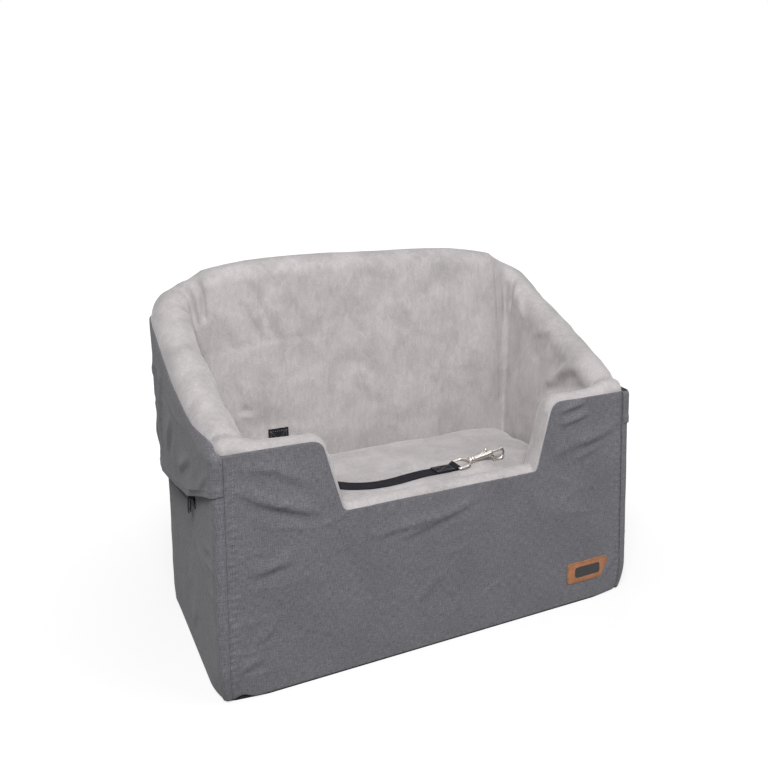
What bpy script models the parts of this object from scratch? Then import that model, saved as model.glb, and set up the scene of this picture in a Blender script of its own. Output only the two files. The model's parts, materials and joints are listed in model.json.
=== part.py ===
"""Booster seat for a dog: a boxed canvas base that carries a padded fleece bucket.

Lengths are in metres, +Z is up and the entry notch faces -Y. The walls are swept along one plan outline:
a Station is a place on that outline, and the covers, boards, foam and fleece are all offsets from it.
"""
import math

import bmesh
import bpy
from mathutils import Vector

mm = 0.001

# Fits that the pieces share
gap = 0.3 * mm
canvas_thickness = 1.5 * mm
board_thickness = 3 * mm
webbing_thickness = 1.5 * mm

# Base box
front_width = 626 * mm
base_depth = 338 * mm
front_height = 320 * mm
front_corner_radius = 20 * mm
back_corner_radius = 65 * mm
front_cloth_radius = 8 * mm
back_cloth_radius = 32 * mm
cover_lift = 3 * mm
corner_wrap = 22 * mm
bottom_taper = 4 * mm
taper_height = 190 * mm
side_columns = 7
corner_tuck = 13 * mm
tuck_reach = 60 * mm
tuck_height = 50 * mm
tuck_row_shares = (0.15, 0.36, 0.64, 1.0)

# Entry notch in the front, with its sides leaning outwards
notch_floor = 221 * mm
notch_floor_width = 296 * mm
notch_top_width = 352 * mm
notch_floor_radius = 9 * mm
notch_top_radius = 18 * mm
notch_arc_steps = 4

# Hem, rim and roll of the bucket, each rising from the front to the back
hem_front = 264 * mm
hem_knee = 240 * mm
hem_back = 212 * mm
hem_knee_share = 0.31
hem_standoff = 12 * mm
hem_cover_lap = 12 * mm
rim_corner = 440 * mm
rim_middle = 452 * mm
rim_rise_power = 2.3
rim_flare = 16 * mm
back_lean = 16 * mm
roll_front = 326 * mm
roll_corner = 470 * mm
roll_middle = 517 * mm
roll_corner_drop = 40 * mm
arch_power = 4
roll_lap = 6 * mm

# Padded walls
wall_thickness = 54 * mm
front_wall_thickness = 28 * mm
fleece_thickness = 4 * mm
front_lip_rise = 5 * mm
fleece_outer_leg = 16 * mm
pad_start_over_hem = 15 * mm
pad_swell_height = 30 * mm
front_pad_step = 12 * mm
roll_arc_steps = 4

# Boards, ribs and tray
tray_thickness = 2 * mm
tray_height = 10 * mm
board_over_deck = 10 * mm
board_top_under_hem = 12 * mm
board_clip_reach = 100 * mm
deck_height = 170 * mm
deck_thickness = 5 * mm
rib_thickness = 5 * mm
cross_rib_spacing = 240 * mm
board_edge_bevel = 0.8 * mm
liner_floor_thickness = 1.5 * mm

# Seat cushion
cushion_thickness = 42 * mm
cushion_seam_height = 16 * mm
cushion_draw_in = 9 * mm
cushion_clearance = 0.6 * mm
cushion_corner_ease = 4 * mm
cushion_corner_power = 6
cushion_plan_power = 4
cushion_crown_power = 0.5
cushion_columns = 22
cushion_rows = 14

# Side zips, just under the hem from its knee to the back
zip_end_clearance = 2 * mm
zip_drop = 1.5 * mm
zip_standoff = 3 * mm
zip_running_gap = 1.6 * mm
zip_bead_width = 2.2 * mm
zip_bead_height = 1.6 * mm
zip_tape_thickness = 0.6 * mm
zip_tape_flat = 5.5 * mm
zip_tape_rise = 15 * mm
zip_tape_end = 19 * mm
zip_columns = 9
slider_start = 8 * mm
slider_length = 9 * mm
slider_half_height = 4.2 * mm
slider_plate_thickness = 0.9 * mm
slider_clearance = 0.3 * mm
slider_post_width = 1 * mm
slider_lip_height = 0.8 * mm
slider_lip_depth = 0.6 * mm
crown_width = 1.4 * mm
crown_bar = 0.9 * mm
crown_reach = 2.1 * mm
crown_top = 0.4 * mm
crown_bottom = 4.2 * mm
pull_width = 8 * mm
pull_length = 25 * mm
pull_thickness = 1.2 * mm
pull_bar_height = 1.2 * mm
pull_window_width = 4.6 * mm
pull_window_height = 3.8 * mm
pull_corner = 1.5 * mm

# Patch on the front
patch_width = 73 * mm
patch_height = 32 * mm
patch_thickness = 1.2 * mm
patch_from_middle = 239.5 * mm
patch_over_floor = 49 * mm
patch_corner = 5 * mm

# Belt loops on the back
belt_loop_width = 38 * mm
belt_loop_spacing = 300 * mm
belt_loop_bottom = 78 * mm
belt_loop_height = 108 * mm
belt_loop_tab = 20 * mm
belt_loop_rise = 9 * mm

# Tether
tether_width = 25 * mm
tether_route = [
    (-150.0 * mm, 109.0 * mm, 216.5 * mm), (-150.0 * mm, 103.0 * mm, 211.0 * mm),
    (-150.0 * mm, 94.0 * mm, 208.8 * mm), (-150.0 * mm, 76.0 * mm, 210.6 * mm),
    (-150.0 * mm, 52.0 * mm, 212.9 * mm), (-149.0 * mm, 24.0 * mm, 213.8 * mm),
    (-145.0 * mm, -6.0 * mm, 214.1 * mm), (-136.0 * mm, -34.0 * mm, 214.3 * mm),
    (-121.0 * mm, -59.0 * mm, 214.4 * mm), (-100.0 * mm, -77.0 * mm, 214.3 * mm),
    (-74.0 * mm, -86.0 * mm, 213.9 * mm), (-45.0 * mm, -87.0 * mm, 213.9 * mm),
    (-18.0 * mm, -83.0 * mm, 214.2 * mm), (6.0 * mm, -80.0 * mm, 214.4 * mm),
    (24.0 * mm, -80.0 * mm, 214.4 * mm)]
tether_steps = 3
anchor_width = 32 * mm
anchor_height = 36 * mm
anchor_thickness = 1.6 * mm
anchor_over_seat = 45 * mm
end_loop_length = 36 * mm

# Snap hook, measured along its axis from the bar of the eye
eye_rod_radius = 1.8 * mm
eye_inner_width = 28 * mm
eye_length = 25 * mm
eye_shoulder = 9 * mm
eye_collar_radius = 5 * mm
eye_collar_length = 3 * mm
stem_radius = 1.6 * mm
stem_head_radius = 2.7 * mm
stem_head_length = 1.5 * mm
stem_reach = 4.6 * mm
running_clearance = 0.3 * mm
barrel_radius = 4.6 * mm
barrel_foot_radius = 5.4 * mm
barrel_length = 36 * mm
barrel_wall = 2.6 * mm
socket_depth = 6.6 * mm
bolt_radius = 2.1 * mm
bolt_reach = 11 * mm
bolt_travel = 7.5 * mm
bolt_rear = 20 * mm
knob_radius = 2.6 * mm
knob_reach = 9.8 * mm
knob_stem_radius = 1.1 * mm
knob_from_barrel_end = 10 * mm
hook_ring_radius = 9.5 * mm
hook_ring_drop = 5.5 * mm
hook_rod_radius = 2.1 * mm
hook_root_inset = 3.5 * mm
hook_seat_drop = 1.6 * mm
hook_arc_steps = 14
spring_wire_radius = 0.25 * mm
spring_turns = 6
spring_steps_per_turn = 10
round_segments = 20
smooth_angle = math.radians(40)

# What follows from the sizes above
half_width = front_width / 2
front_y = -base_depth / 2
back_y = base_depth / 2
wall_stack = canvas_thickness + gap + board_thickness + gap
wall_foot = wall_thickness + wall_stack - canvas_thickness - gap
cover_lap = canvas_thickness + gap
front_pad_corner_radius = front_corner_radius - wall_stack
front_board_top = deck_height + board_over_deck
liner_base = deck_height + gap + liner_floor_thickness + gap
hem_knee_y = front_y + hem_knee_share * base_depth
centre_shift = (cover_lap - back_lean) / 2

for old_object in list(bpy.data.objects):
    bpy.data.objects.remove(old_object)


def make_material(name, colour, roughness, metallic=0.0):
    """One Principled material for a kind of stuff."""
    material = bpy.data.materials.new(name)
    material.use_nodes = True
    shader = material.node_tree.nodes["Principled BSDF"]
    shader.inputs["Base Color"].default_value = (*colour, 1.0)
    shader.inputs["Roughness"].default_value = roughness
    shader.inputs["Metallic"].default_value = metallic
    material.diffuse_color = (*colour, 1.0)
    return material


canvas = make_material("canvas", (0.150, 0.150, 0.162), 0.9)
fleece = make_material("fleece", (0.560, 0.525, 0.530), 1.0)
foam = make_material("foam", (0.80, 0.78, 0.70), 1.0)
board = make_material("board", (0.33, 0.25, 0.16), 0.85)
black_cloth = make_material("black_cloth", (0.012, 0.012, 0.014), 0.85)
webbing = make_material("webbing", (0.010, 0.010, 0.013), 0.7)
zip_tape = make_material("zip_tape", (0.020, 0.020, 0.023), 0.8)
patch_leather = make_material("patch_leather", (0.42, 0.15, 0.06), 0.6)
nickel = make_material("nickel", (0.78, 0.74, 0.68), 0.22, 1.0)
spring_steel = make_material("spring_steel", (0.45, 0.45, 0.46), 0.35, 1.0)
black_metal = make_material("black_metal", (0.015, 0.015, 0.017), 0.4, 0.6)


def make_empty(name, parent=None, location=(0, 0, 0), rotation=(0, 0, 0)):
    """A joint's axis, or the seat's own frame."""
    empty = bpy.data.objects.new(name, None)
    empty.parent = parent
    empty.location = location
    empty.rotation_euler = rotation
    empty.empty_display_size = tether_width
    bpy.context.scene.collection.objects.link(empty)
    return empty


seat_frame = make_empty("seat_frame", location=(0, centre_shift, 0))
liner_frame = make_empty("liner_frame", seat_frame)


def finish(name, bm, material, parent, smooth=False):
    """Turn a bmesh into a named object, with its faces pointing out."""
    bmesh.ops.recalc_face_normals(bm, faces=bm.faces)
    mesh = bpy.data.meshes.new(name)
    bm.to_mesh(mesh)
    bm.free()
    mesh.materials.append(material)
    if smooth:
        mesh.shade_smooth()
        mesh.set_sharp_from_angle(angle=smooth_angle)
    made = bpy.data.objects.new(name, mesh)
    made.parent = parent
    bpy.context.scene.collection.objects.link(made)
    return made


def split_quad(bm, a, b, c, d):
    """Two triangles across the shorter diagonal, so that skins a gap apart are split alike."""
    if (a.co - c.co).length < (b.co - d.co).length:
        bm.faces.new((a, b, c))
        bm.faces.new((a, c, d))
    else:
        bm.faces.new((a, b, d))
        bm.faces.new((b, c, d))


def loft(name, rings, material, parent, smooth=False):
    """A solid through closed rings with the same number of points, capped at both ends."""
    bm = bmesh.new()
    loops = [[bm.verts.new(point) for point in ring] for ring in rings]
    for here, there in zip(loops, loops[1:]):
        for index, corner in enumerate(here):
            after = (index + 1) % len(here)
            split_quad(bm, corner, here[after], there[after], there[index])
    bm.faces.new(loops[0])
    bm.faces.new(loops[-1])
    return finish(name, bm, material, parent, smooth)


def slab(name, outline, along, material, parent, smooth=False):
    """A flat outline pushed along a vector."""
    bm = bmesh.new()
    face = bm.faces.new([bm.verts.new(point) for point in outline])
    pushed = bmesh.ops.extrude_face_region(bm, geom=[face])["geom"]
    moved = [item for item in pushed if isinstance(item, bmesh.types.BMVert)]
    bmesh.ops.translate(bm, verts=moved, vec=along)
    return finish(name, bm, material, parent, smooth)


def turned(name, profile, material, parent, smooth=True):
    """A solid of revolution about X from (x, radius) points that start and end on the axis."""
    bm = bmesh.new()
    chain = [bm.verts.new((x, 0, radius)) for x, radius in profile]
    edges = [bm.edges.new(pair) for pair in zip(chain, chain[1:])]
    bmesh.ops.spin(bm, geom=chain + edges, cent=(0, 0, 0), axis=(1, 0, 0), angle=math.tau,
                   steps=round_segments, use_merge=True)
    bmesh.ops.remove_doubles(bm, verts=bm.verts, dist=gap / round_segments)
    return finish(name, bm, material, parent, smooth)


def rod(name, points, radius, material, parent, sides=10, closed_plane=None):
    """A round rod along points, framed by the normal of the plane that it lies in."""
    plane = Vector(closed_plane)
    rings = []
    for index, point in enumerate(points):
        before = points[max(index - 1, 0)]
        after = points[min(index + 1, len(points) - 1)]
        along = (after - before).normalized()
        across = plane.cross(along).normalized()
        rings.append([point + radius * (math.cos(turn) * across + math.sin(turn) * plane)
                      for turn in (math.tau * step / sides for step in range(sides))])
    return loft(name, rings, material, parent, smooth=True)


def combine(target, other, operation):
    """Join another solid to the target, or cut it away, and keep the other only as a guide."""
    other.hide_render = True
    other.display_type = "WIRE"
    step = target.modifiers.new(operation.lower(), "BOOLEAN")
    step.operation = operation
    step.solver = "EXACT"
    step.object = other


def soften(target, width, angle=math.radians(60)):
    """A small bevel on the sharp edges."""
    step = target.modifiers.new("edge", "BEVEL")
    step.width = width
    step.segments = 1
    step.limit_method = "ANGLE"
    step.angle_limit = angle


def lerp(start, end, share):
    return start + (end - start) * share


def rounded(corners, radii, steps):
    """A polyline with each inner corner replaced by an arc of its own radius."""
    points = [corners[0]]
    for before, corner, after, radius in zip(corners, corners[1:], corners[2:], radii):
        back, ahead = (before - corner).normalized(), (after - corner).normalized()
        half = back.angle(ahead) / 2
        centre = corner + (back + ahead).normalized() * (radius / math.sin(half))
        start = corner + back * (radius / math.tan(half)) - centre
        end = corner + ahead * (radius / math.tan(half)) - centre
        sweep = start.angle(end)
        for step in range(steps + 1):
            share = step / steps
            mixed = start * math.sin((1 - share) * sweep) + end * math.sin(share * sweep)
            points.append(centre + mixed / math.sin(sweep))
    points.append(corners[-1])
    return points


class Station:
    """A place on the plan outline. turn is 0 on the front and sides, and 1 along the back."""

    def __init__(self, x, y, normal_x, normal_y, turn=0.0):
        self.x, self.y = x, y
        self.normal = Vector((normal_x, normal_y, 0))
        self.turn = turn
        self.depth_share = min(max((y - front_y) / base_depth, 0.0), 1.0)
        self.across_share = min(abs(x) / half_width, 1.0)

    def mirrored(self):
        return Station(-self.x, self.y, -self.normal.x, self.normal.y, self.turn)

    def point(self, offset, z):
        """The point at a height, moved outwards from the outline by the offset."""
        return Vector((self.x, self.y, z)) + self.normal * offset


def arc_stations(centre_x, centre_y, radius, start, end, count, turn_end=0.0):
    """Stations round a corner, from one angle to another in degrees."""
    made = []
    for step in range(count + 1):
        share = step / count
        angle = math.radians(lerp(start, end, share))
        nx, ny = math.cos(angle), math.sin(angle)
        made.append(Station(centre_x + radius * nx, centre_y + radius * ny, nx, ny, turn_end * share))
    return made


def side_stations(start_y, end_y, count):
    """Stations along the left side."""
    return [Station(-half_width, lerp(start_y, end_y, step / count), -1, 0) for step in range(count + 1)]


def back_stations(half_span, count):
    """Stations along the back, from left to right."""
    return [Station(lerp(-half_span, half_span, step / count), back_y, 0, 1, 1.0)
            for step in range(count + 1)]


def front_corner(count=4):
    """Stations round the left front corner, from the front to the side."""
    radius = front_corner_radius
    return arc_stations(radius - half_width, front_y + radius, radius, 270, 180, count)


def back_corner(count=7):
    """Stations round the left back corner, from the side to the back."""
    radius = back_corner_radius
    return arc_stations(radius - half_width, back_y - radius, radius, 180, 90, count, turn_end=1.0)


side_start = front_y + front_corner_radius
side_end = back_y - back_corner_radius
back_half_span = half_width - back_corner_radius


def hem_height(st):
    """Height of the skirt's hem, with its knee at the zip's closed end."""
    share = st.depth_share
    if share < hem_knee_share:
        return lerp(hem_front, hem_knee, share / hem_knee_share)
    return lerp(hem_knee, hem_back, (share - hem_knee_share) / (1 - hem_knee_share))


def arched(middle, drop, st):
    """A height along the back that falls from the middle towards the corners."""
    return middle - drop * st.across_share ** arch_power


def rim_height(st):
    """Height of the canvas's top edge."""
    side = lerp(front_height, rim_corner, st.depth_share ** rim_rise_power)
    return lerp(side, arched(rim_middle, rim_middle - rim_corner, st), st.turn)


def roll_height(st):
    """Height of the top of the padded roll."""
    side = lerp(roll_front, roll_corner, st.depth_share)
    return lerp(side, arched(roll_middle, roll_corner_drop, st), st.turn)


def tuck(st):
    """How far the cloth is drawn in at the floor, near a front corner."""
    from_corner = max(half_width - abs(st.x), st.y - front_y)
    return corner_tuck * max(0.0, 1 - from_corner / tuck_reach) ** 2


def corner_fill(st):
    """How far the cloth's tighter corner stands out of the outline's wide one."""
    near, far = sorted((abs(st.normal.x), abs(st.normal.y)))
    wide, tight = front_corner_radius, front_cloth_radius
    if st.turn > 0:
        wide, tight = back_corner_radius, back_cloth_radius
    shift = wide - tight
    if wide * near < shift * far:
        return wide / far - wide
    along = shift * (near + far)
    return along + math.sqrt(tight ** 2 - 2 * shift ** 2 + along ** 2) - wide


def lower_offset(st, z):
    """Where the base's cloth lies, outwards from the outline: tapered to the floor and tucked in."""
    taper = bottom_taper * st.depth_share * max(0.0, 1 - z / taper_height)
    return corner_fill(st) - taper - tuck(st) * max(0.0, 1 - z / tuck_height) ** 2


def upper_offset(st, z, lap=cover_lap):
    """Where the bucket's cloth lies: lapped over the base, standing off at the hem and flared at the rim."""
    low, high = hem_height(st), rim_height(st)
    rise = min(max((z - low) / (high - low), 0.0), 1.0)
    standoff = hem_standoff * (1 - (1 - st.depth_share) ** 3) * (1 - st.turn)
    flare = rim_flare * (1 - (1 - st.depth_share) ** 3)
    lean = lerp(standoff, lerp(flare, back_lean, st.turn), rise)
    return corner_fill(st) + lap * (1 - st.turn) + lean


def back_offset(st, z):
    """Where the back's cloth lies: the base's taper below, and a lean above."""
    if z < hem_back:
        return lower_offset(st, z)
    return upper_offset(st, z)


def tuck_rows():
    """Heights of a cover's rows where its cloth curves in to the floor."""
    return [cover_lift] + [share * tuck_height for share in tuck_row_shares]


def sheet(name, stations, rows, place, thickness, material, depth=0.0, parent=seat_frame):
    """A bent panel whose outer face is placed by a function, as thick as given."""
    rings = []
    for st in stations:
        heights = rows(st)
        outer = [st.point(place(st, z) - depth, z) for z in heights]
        inner = [st.point(place(st, z) - depth - thickness, z) for z in reversed(heights)]
        rings.append(outer + inner)
    return loft(name, rings, material, parent)


def notch_corners(grow):
    """The corners of the front's top edge from left to right, moved outwards by grow."""
    lean = math.atan2((notch_top_width - notch_floor_width) / 2, front_height - notch_floor)
    side_shift = grow / math.cos(lean)
    slope = math.tan(lean)
    top, floor = front_height + grow, notch_floor + grow
    half_floor = notch_floor_width / 2 + (floor - notch_floor) * slope - side_shift
    half_top = notch_floor_width / 2 + (top - notch_floor) * slope - side_shift
    return half_floor, half_top, floor, top


def front_outline(half_span, grow=0.0):
    """The front's top edge as points with x and z, from one end to the other."""
    half_floor, half_top, floor, top = notch_corners(grow)
    corners = [Vector((-half_span, 0, top)), Vector((-half_top, 0, top)), Vector((-half_floor, 0, floor)),
               Vector((half_floor, 0, floor)), Vector((half_top, 0, top)), Vector((half_span, 0, top))]
    outside, inside = notch_top_radius + grow, notch_floor_radius - grow
    return rounded(corners, [outside, inside, inside, outside], notch_arc_steps)


def left_and_right(make):
    """Make a piece on each side: the left has its stations as they are, the right has them mirrored."""
    made = []
    for side, turned_over in (("left", False), ("right", True)):
        made.append(make(side, (lambda st: st.mirrored()) if turned_over else (lambda st: st)))
    return made


def make_front_cover():
    """The front panel, its top edge cut down to the entry notch."""
    half_span = half_width - corner_wrap - gap
    inner_tuck = [Station(x, front_y, 0, -1) for x in
                  (-half_span, tuck_reach / 2 - half_width, tuck_reach - half_width)]
    edge = front_outline(half_span)
    heights = {}
    columns = []
    for point in edge[:1] + [Vector((st.x, 0, edge[0].z)) for st in inner_tuck[1:]] + edge[1:-1] \
            + [Vector((-st.x, 0, edge[0].z)) for st in reversed(inner_tuck[1:])] + edge[-1:]:
        st = Station(point.x, front_y, 0, -1)
        heights[id(st)] = point.z
        columns.append(st)

    def rows(st):
        top = heights[id(st)]
        return tuck_rows() + [taper_height, top]

    return sheet("front_cover", columns, rows, lower_offset, canvas_thickness, canvas)


def make_lower_covers():
    """The side panels of the base, wrapped round both corners."""
    def rows(st):
        lap = max(lerp(hem_cover_lap, -hem_cover_lap / 2, st.turn), -gap)
        return tuck_rows() + [taper_height, hem_height(st) + lap]

    path = [Station(corner_wrap - half_width, front_y, 0, -1)] + front_corner()
    path += side_stations(side_start, side_end, side_columns)[1:] + back_corner()[1:]

    def make(side, place):
        return sheet(side + "_lower_cover", [place(st) for st in path], rows, lower_offset,
                     canvas_thickness, canvas)

    left_and_right(make)


def make_upper_covers():
    """The bucket's side skirts, whose hems stand off the base."""
    def rows(st):
        return [hem_height(st), lerp(hem_height(st), rim_height(st), 0.5), rim_height(st)]

    path = [Station(corner_wrap - half_width, front_y, 0, -1)] + front_corner()
    path += side_stations(side_start, side_end, 9)[1:] + back_corner()[1:]

    def make(side, place):
        return sheet(side + "_upper_cover", [place(st) for st in path], rows, upper_offset,
                     canvas_thickness, canvas)

    left_and_right(make)


def make_back_cover():
    """The back panel, from the floor to the rim in one piece."""
    def rows(st):
        return tuck_rows() + [taper_height, hem_back, lerp(hem_back, rim_height(st), 0.5), rim_height(st)]

    return sheet("back_cover", back_stations(back_half_span - gap, 8), rows, back_offset,
                 canvas_thickness, canvas)


def base_outline(z, depth):
    """The base's plan outline at a height, moved inwards, as points from the left front round to the right."""
    left = front_corner() + [Station(-half_width, front_y + tuck_reach, -1, 0)]
    left = [Station(tuck_reach - half_width, front_y, 0, -1)] + left + back_corner()
    path = left + [st.mirrored() for st in reversed(left)]
    return [st.point(lower_offset(st, z) - depth, z) for st in path]


def make_bottom_cover():
    """The black tray: a floor with a low wall that stands inside the covers."""
    rise = Vector((0, 0, tray_height))
    tray = slab("bottom_cover", base_outline(0, cover_lap), rise, black_cloth, seat_frame)
    hollow = slab("bottom_cover_hollow", base_outline(0, cover_lap + canvas_thickness), rise, black_cloth,
                  seat_frame)
    hollow.location.z = tray_thickness
    combine(tray, hollow, "DIFFERENCE")


def make_wall_boards():
    """The four stiff boards behind the covers, with their lower corners clipped at the tuck."""
    def foot(st):
        from_corner = max(half_width - abs(st.x), st.y - front_y)
        share = (board_clip_reach - from_corner) / (board_clip_reach - tuck_reach / 2)
        return lerp(tray_height + gap, tuck_height, min(max(share, 0.0), 1.0))

    def side_rows(st):
        return [foot(st), taper_height, hem_height(st) - board_top_under_hem]

    def front_rows(st):
        return [foot(st), front_board_top]

    def back_rows(st):
        return [tray_height + gap, taper_height, hem_back - board_top_under_hem]

    side_path = side_stations(side_start, side_end, side_columns)

    def make_side(side, place):
        made = sheet(side + "_board", [place(st) for st in side_path], side_rows, lower_offset,
                     board_thickness, board, depth=cover_lap)
        soften(made, board_edge_bevel)
        return made

    left_and_right(make_side)
    reaches = (front_corner_radius, tuck_reach / 2, tuck_reach, board_clip_reach)
    spans = [half_width - reach for reach in reaches]
    front_path = [Station(x, front_y, 0, -1) for x in [-span for span in spans] + spans[::-1]]
    soften(sheet("front_board", front_path, front_rows, lower_offset, board_thickness, board,
                 depth=cover_lap), board_edge_bevel)
    soften(sheet("back_board", back_stations(back_half_span - gap, 1), back_rows, lower_offset,
                 board_thickness, board, depth=cover_lap), board_edge_bevel)


def inside_half_width(y, z):
    """Half the clear width between the side boards."""
    st = Station(-half_width, y, -1, 0)
    return half_width + lower_offset(st, z) - wall_stack


def inside_back(z):
    """Where the back board's inner face lies."""
    return back_y + lower_offset(Station(0, back_y, 0, 1, 1.0), z) - wall_stack


def make_floor_and_deck():
    """The board in the tray and the board that carries the bucket."""
    slab("floor_board", base_outline(tray_thickness + gap, wall_stack), Vector((0, 0, board_thickness)),
         board, seat_frame)
    low = deck_height - deck_thickness
    soften(slab("deck_board", base_outline(low, wall_stack), Vector((0, 0, deck_thickness)), board, seat_frame),
           board_edge_bevel)


def make_ribs():
    """Three upright ribs that slot into each other half way up and carry the deck."""
    low = tray_thickness + gap + board_thickness + gap
    high = deck_height - deck_thickness - gap
    middle = (low + high) / 2
    slot = rib_thickness / 2 + gap
    crossings = (-cross_rib_spacing / 2, cross_rib_spacing / 2)
    outline = [(-inside_half_width(0, low), low), (inside_half_width(0, low), low),
               (inside_half_width(0, high), high)]
    slot_floor, slot_roof = middle - gap / 2, middle + gap / 2
    for x in reversed(crossings):
        outline += [(x + slot, high), (x + slot, slot_floor), (x - slot, slot_floor), (x - slot, high)]
    outline += [(-inside_half_width(0, high), high)]
    slab("long_rib", [Vector((x, -rib_thickness / 2, z)) for x, z in outline],
         Vector((0, rib_thickness, 0)), board, seat_frame)
    front = front_y + wall_stack
    for side, x in zip(("left", "right"), crossings):
        outline = [(front, low), (-slot, low), (-slot, slot_roof), (slot, slot_roof), (slot, low),
                   (inside_back(low), low), (inside_back(high), high), (front, high)]
        slab(side + "_cross_rib", [Vector((x - rib_thickness / 2, y, z)) for y, z in outline],
             Vector((rib_thickness, 0, 0)), board, seat_frame)


def pad_offset(st, z):
    """Where a padded wall's outer side lies: inside the boards, then swelling out to the bucket's cloth."""
    low = hem_height(st) + pad_start_over_hem
    high = low + pad_swell_height
    if z <= low:
        return -wall_stack
    swollen = upper_offset(st, max(z, high)) - cover_lap
    return lerp(-wall_stack, swollen, min((z - low) / (high - low), 1.0))


def wall_inner_offset(st, z):
    """The padded wall's inner side, straight from its foot to the start of the roll."""
    top = roll_height(st)
    share = (z - liner_base) / (top - wall_thickness / 2 - liner_base)
    return lerp(-wall_foot, pad_offset(st, top) - wall_thickness, share)


def roll_crown(st):
    """How far the roll's outer shoulder lies under its top."""
    return min(wall_thickness / 2, roll_height(st) - rim_height(st) + roll_lap)


def leg_height(st):
    """Where the fleece ends on the wall's outer side, hidden behind the canvas."""
    return min(roll_height(st) - roll_crown(st), rim_height(st)) - fleece_outer_leg


def wall_skin(st, inset):
    """A padded wall's cross-section: from the fleece's outer end over the roll to the inner foot."""
    top = roll_height(st)
    crown = roll_crown(st)
    reach = wall_thickness / 2 - inset
    centre = pad_offset(st, top) - wall_thickness / 2
    shoulder, inner_shoulder = top - crown, top - wall_thickness / 2
    leg = leg_height(st)
    points = [(pad_offset(st, leg) - inset, leg)]
    for step in range(roll_arc_steps + 1):
        angle = math.pi / 2 * step / roll_arc_steps
        points.append((centre + reach * math.cos(angle), shoulder + (crown - inset) * math.sin(angle)))
    for step in range(1, roll_arc_steps + 1):
        angle = math.pi / 2 * (1 + step / roll_arc_steps)
        points.append((centre + reach * math.cos(angle), inner_shoulder + reach * math.sin(angle)))
    points.append((inset - wall_foot, liner_base))
    return [st.point(offset, z) for offset, z in points]


def fleece_ring(st):
    """The fleece over a padded wall: short on the outside, down to the floor on the inside."""
    return wall_skin(st, 0.0) + wall_skin(st, fleece_thickness)[::-1]


def foam_ring(st):
    """The foam core that fills the fleece and stands on the liner's floor."""
    inset = fleece_thickness + gap
    swell_low = hem_height(st) + pad_start_over_hem
    low = [st.point(pad_offset(st, z) - inset, z) for z in (liner_base, swell_low)]
    return low + wall_skin(st, inset)


front_wall_back = front_y + wall_stack + front_wall_thickness


def make_padded_walls():
    """The side and back walls of the bucket: a foam core in a fleece skin."""
    side_path = side_stations(front_wall_back + gap, side_end - gap, 8)
    back_path = back_corner() + back_stations(back_half_span, 10)[1:-1]
    back_path += [st.mirrored() for st in reversed(back_corner())]

    def make(side, place):
        path = [place(st) for st in side_path]
        loft(side + "_fleece", [fleece_ring(st) for st in path], fleece, liner_frame, smooth=True)
        loft(side + "_foam", [foam_ring(st) for st in path], foam, liner_frame, smooth=True)

    left_and_right(make)
    loft("back_fleece", [fleece_ring(st) for st in back_path], fleece, liner_frame, smooth=True)
    loft("back_foam", [foam_ring(st) for st in back_path], foam, liner_frame, smooth=True)


def front_pad_outline(inset):
    """The padded front wall's top edge, one point for each column, ends included."""
    half_span = half_width - wall_stack
    edge = front_outline(half_span - inset, front_lip_rise - inset)
    start = half_span - front_pad_corner_radius
    steps = roll_arc_steps
    ends = [start + (front_pad_corner_radius - inset) * math.sin(math.pi / 2 * step / steps)
            for step in range(steps, -1, -1)]
    left = [Vector((-x, 0, edge[0].z)) for x in ends]
    right = [Vector((x, 0, edge[0].z)) for x in reversed(ends)]
    return left + edge[1:-1] + right


def front_pad_front(x, z, inset):
    """The front wall's outer side: behind the board below, against the canvas above, round at its ends."""
    base = front_y + wall_stack if z <= front_board_top + gap else front_y + cover_lap
    radius = front_pad_corner_radius
    into_corner = max(0.0, abs(x) - (half_width - wall_stack - radius))
    into_corner = min(into_corner, radius - inset)
    return base + radius - math.sqrt((radius - inset) ** 2 - into_corner ** 2)


def front_pad_cap(point, inset):
    """The rounded top of one column, from its outer side to its inner side."""
    outer = front_pad_front(point.x, point.z, inset)
    inner = front_wall_back - inset
    half = (inner - outer) / 2
    middle = (inner + outer) / 2
    crown = front_wall_thickness / 2 - inset
    cap = []
    for step in range(2 * roll_arc_steps + 1):
        angle = math.pi * step / (2 * roll_arc_steps)
        z = point.z - crown + crown * math.sin(angle)
        cap.append(Vector((point.x, middle - half * math.cos(angle), z)))
    return cap


def make_front_wall():
    """The bucket's front wall, notched like the front cover."""
    step_low = front_board_top + front_pad_step
    step_high = step_low + front_pad_step
    foam_inset = fleece_thickness + gap
    fleece_rings, foam_rings = [], []
    for outer, inner in zip(front_pad_outline(0.0), front_pad_outline(fleece_thickness)):
        skin = [Vector((outer.x, front_pad_front(outer.x, step_high, 0.0), step_high))]
        skin += front_pad_cap(outer, 0.0) + [Vector((outer.x, front_wall_back, liner_base))]
        core = [Vector((inner.x, front_pad_front(inner.x, step_high, fleece_thickness), step_high))]
        core += front_pad_cap(inner, fleece_thickness)
        core += [Vector((inner.x, front_wall_back - fleece_thickness, liner_base))]
        fleece_rings.append(skin + core[::-1])
    for point in front_pad_outline(foam_inset):
        low_y = front_pad_front(point.x, liner_base, foam_inset)
        high_y = front_pad_front(point.x, step_high, foam_inset)
        ring = [Vector((point.x, low_y, liner_base)), Vector((point.x, low_y, step_low)),
                Vector((point.x, high_y, step_high))]
        ring += front_pad_cap(point, foam_inset)
        ring += [Vector((point.x, front_wall_back - foam_inset, liner_base))]
        foam_rings.append(ring)
    loft("front_fleece", fleece_rings, fleece, liner_frame, smooth=True)
    loft("front_foam", foam_rings, foam, liner_frame, smooth=True)


def make_liner_floor():
    """The cloth that joins the bucket's walls under the cushion."""
    low = deck_height + gap
    slab("liner_floor", base_outline(low, wall_stack + gap), Vector((0, 0, liner_floor_thickness)),
         fleece, liner_frame)


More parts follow.
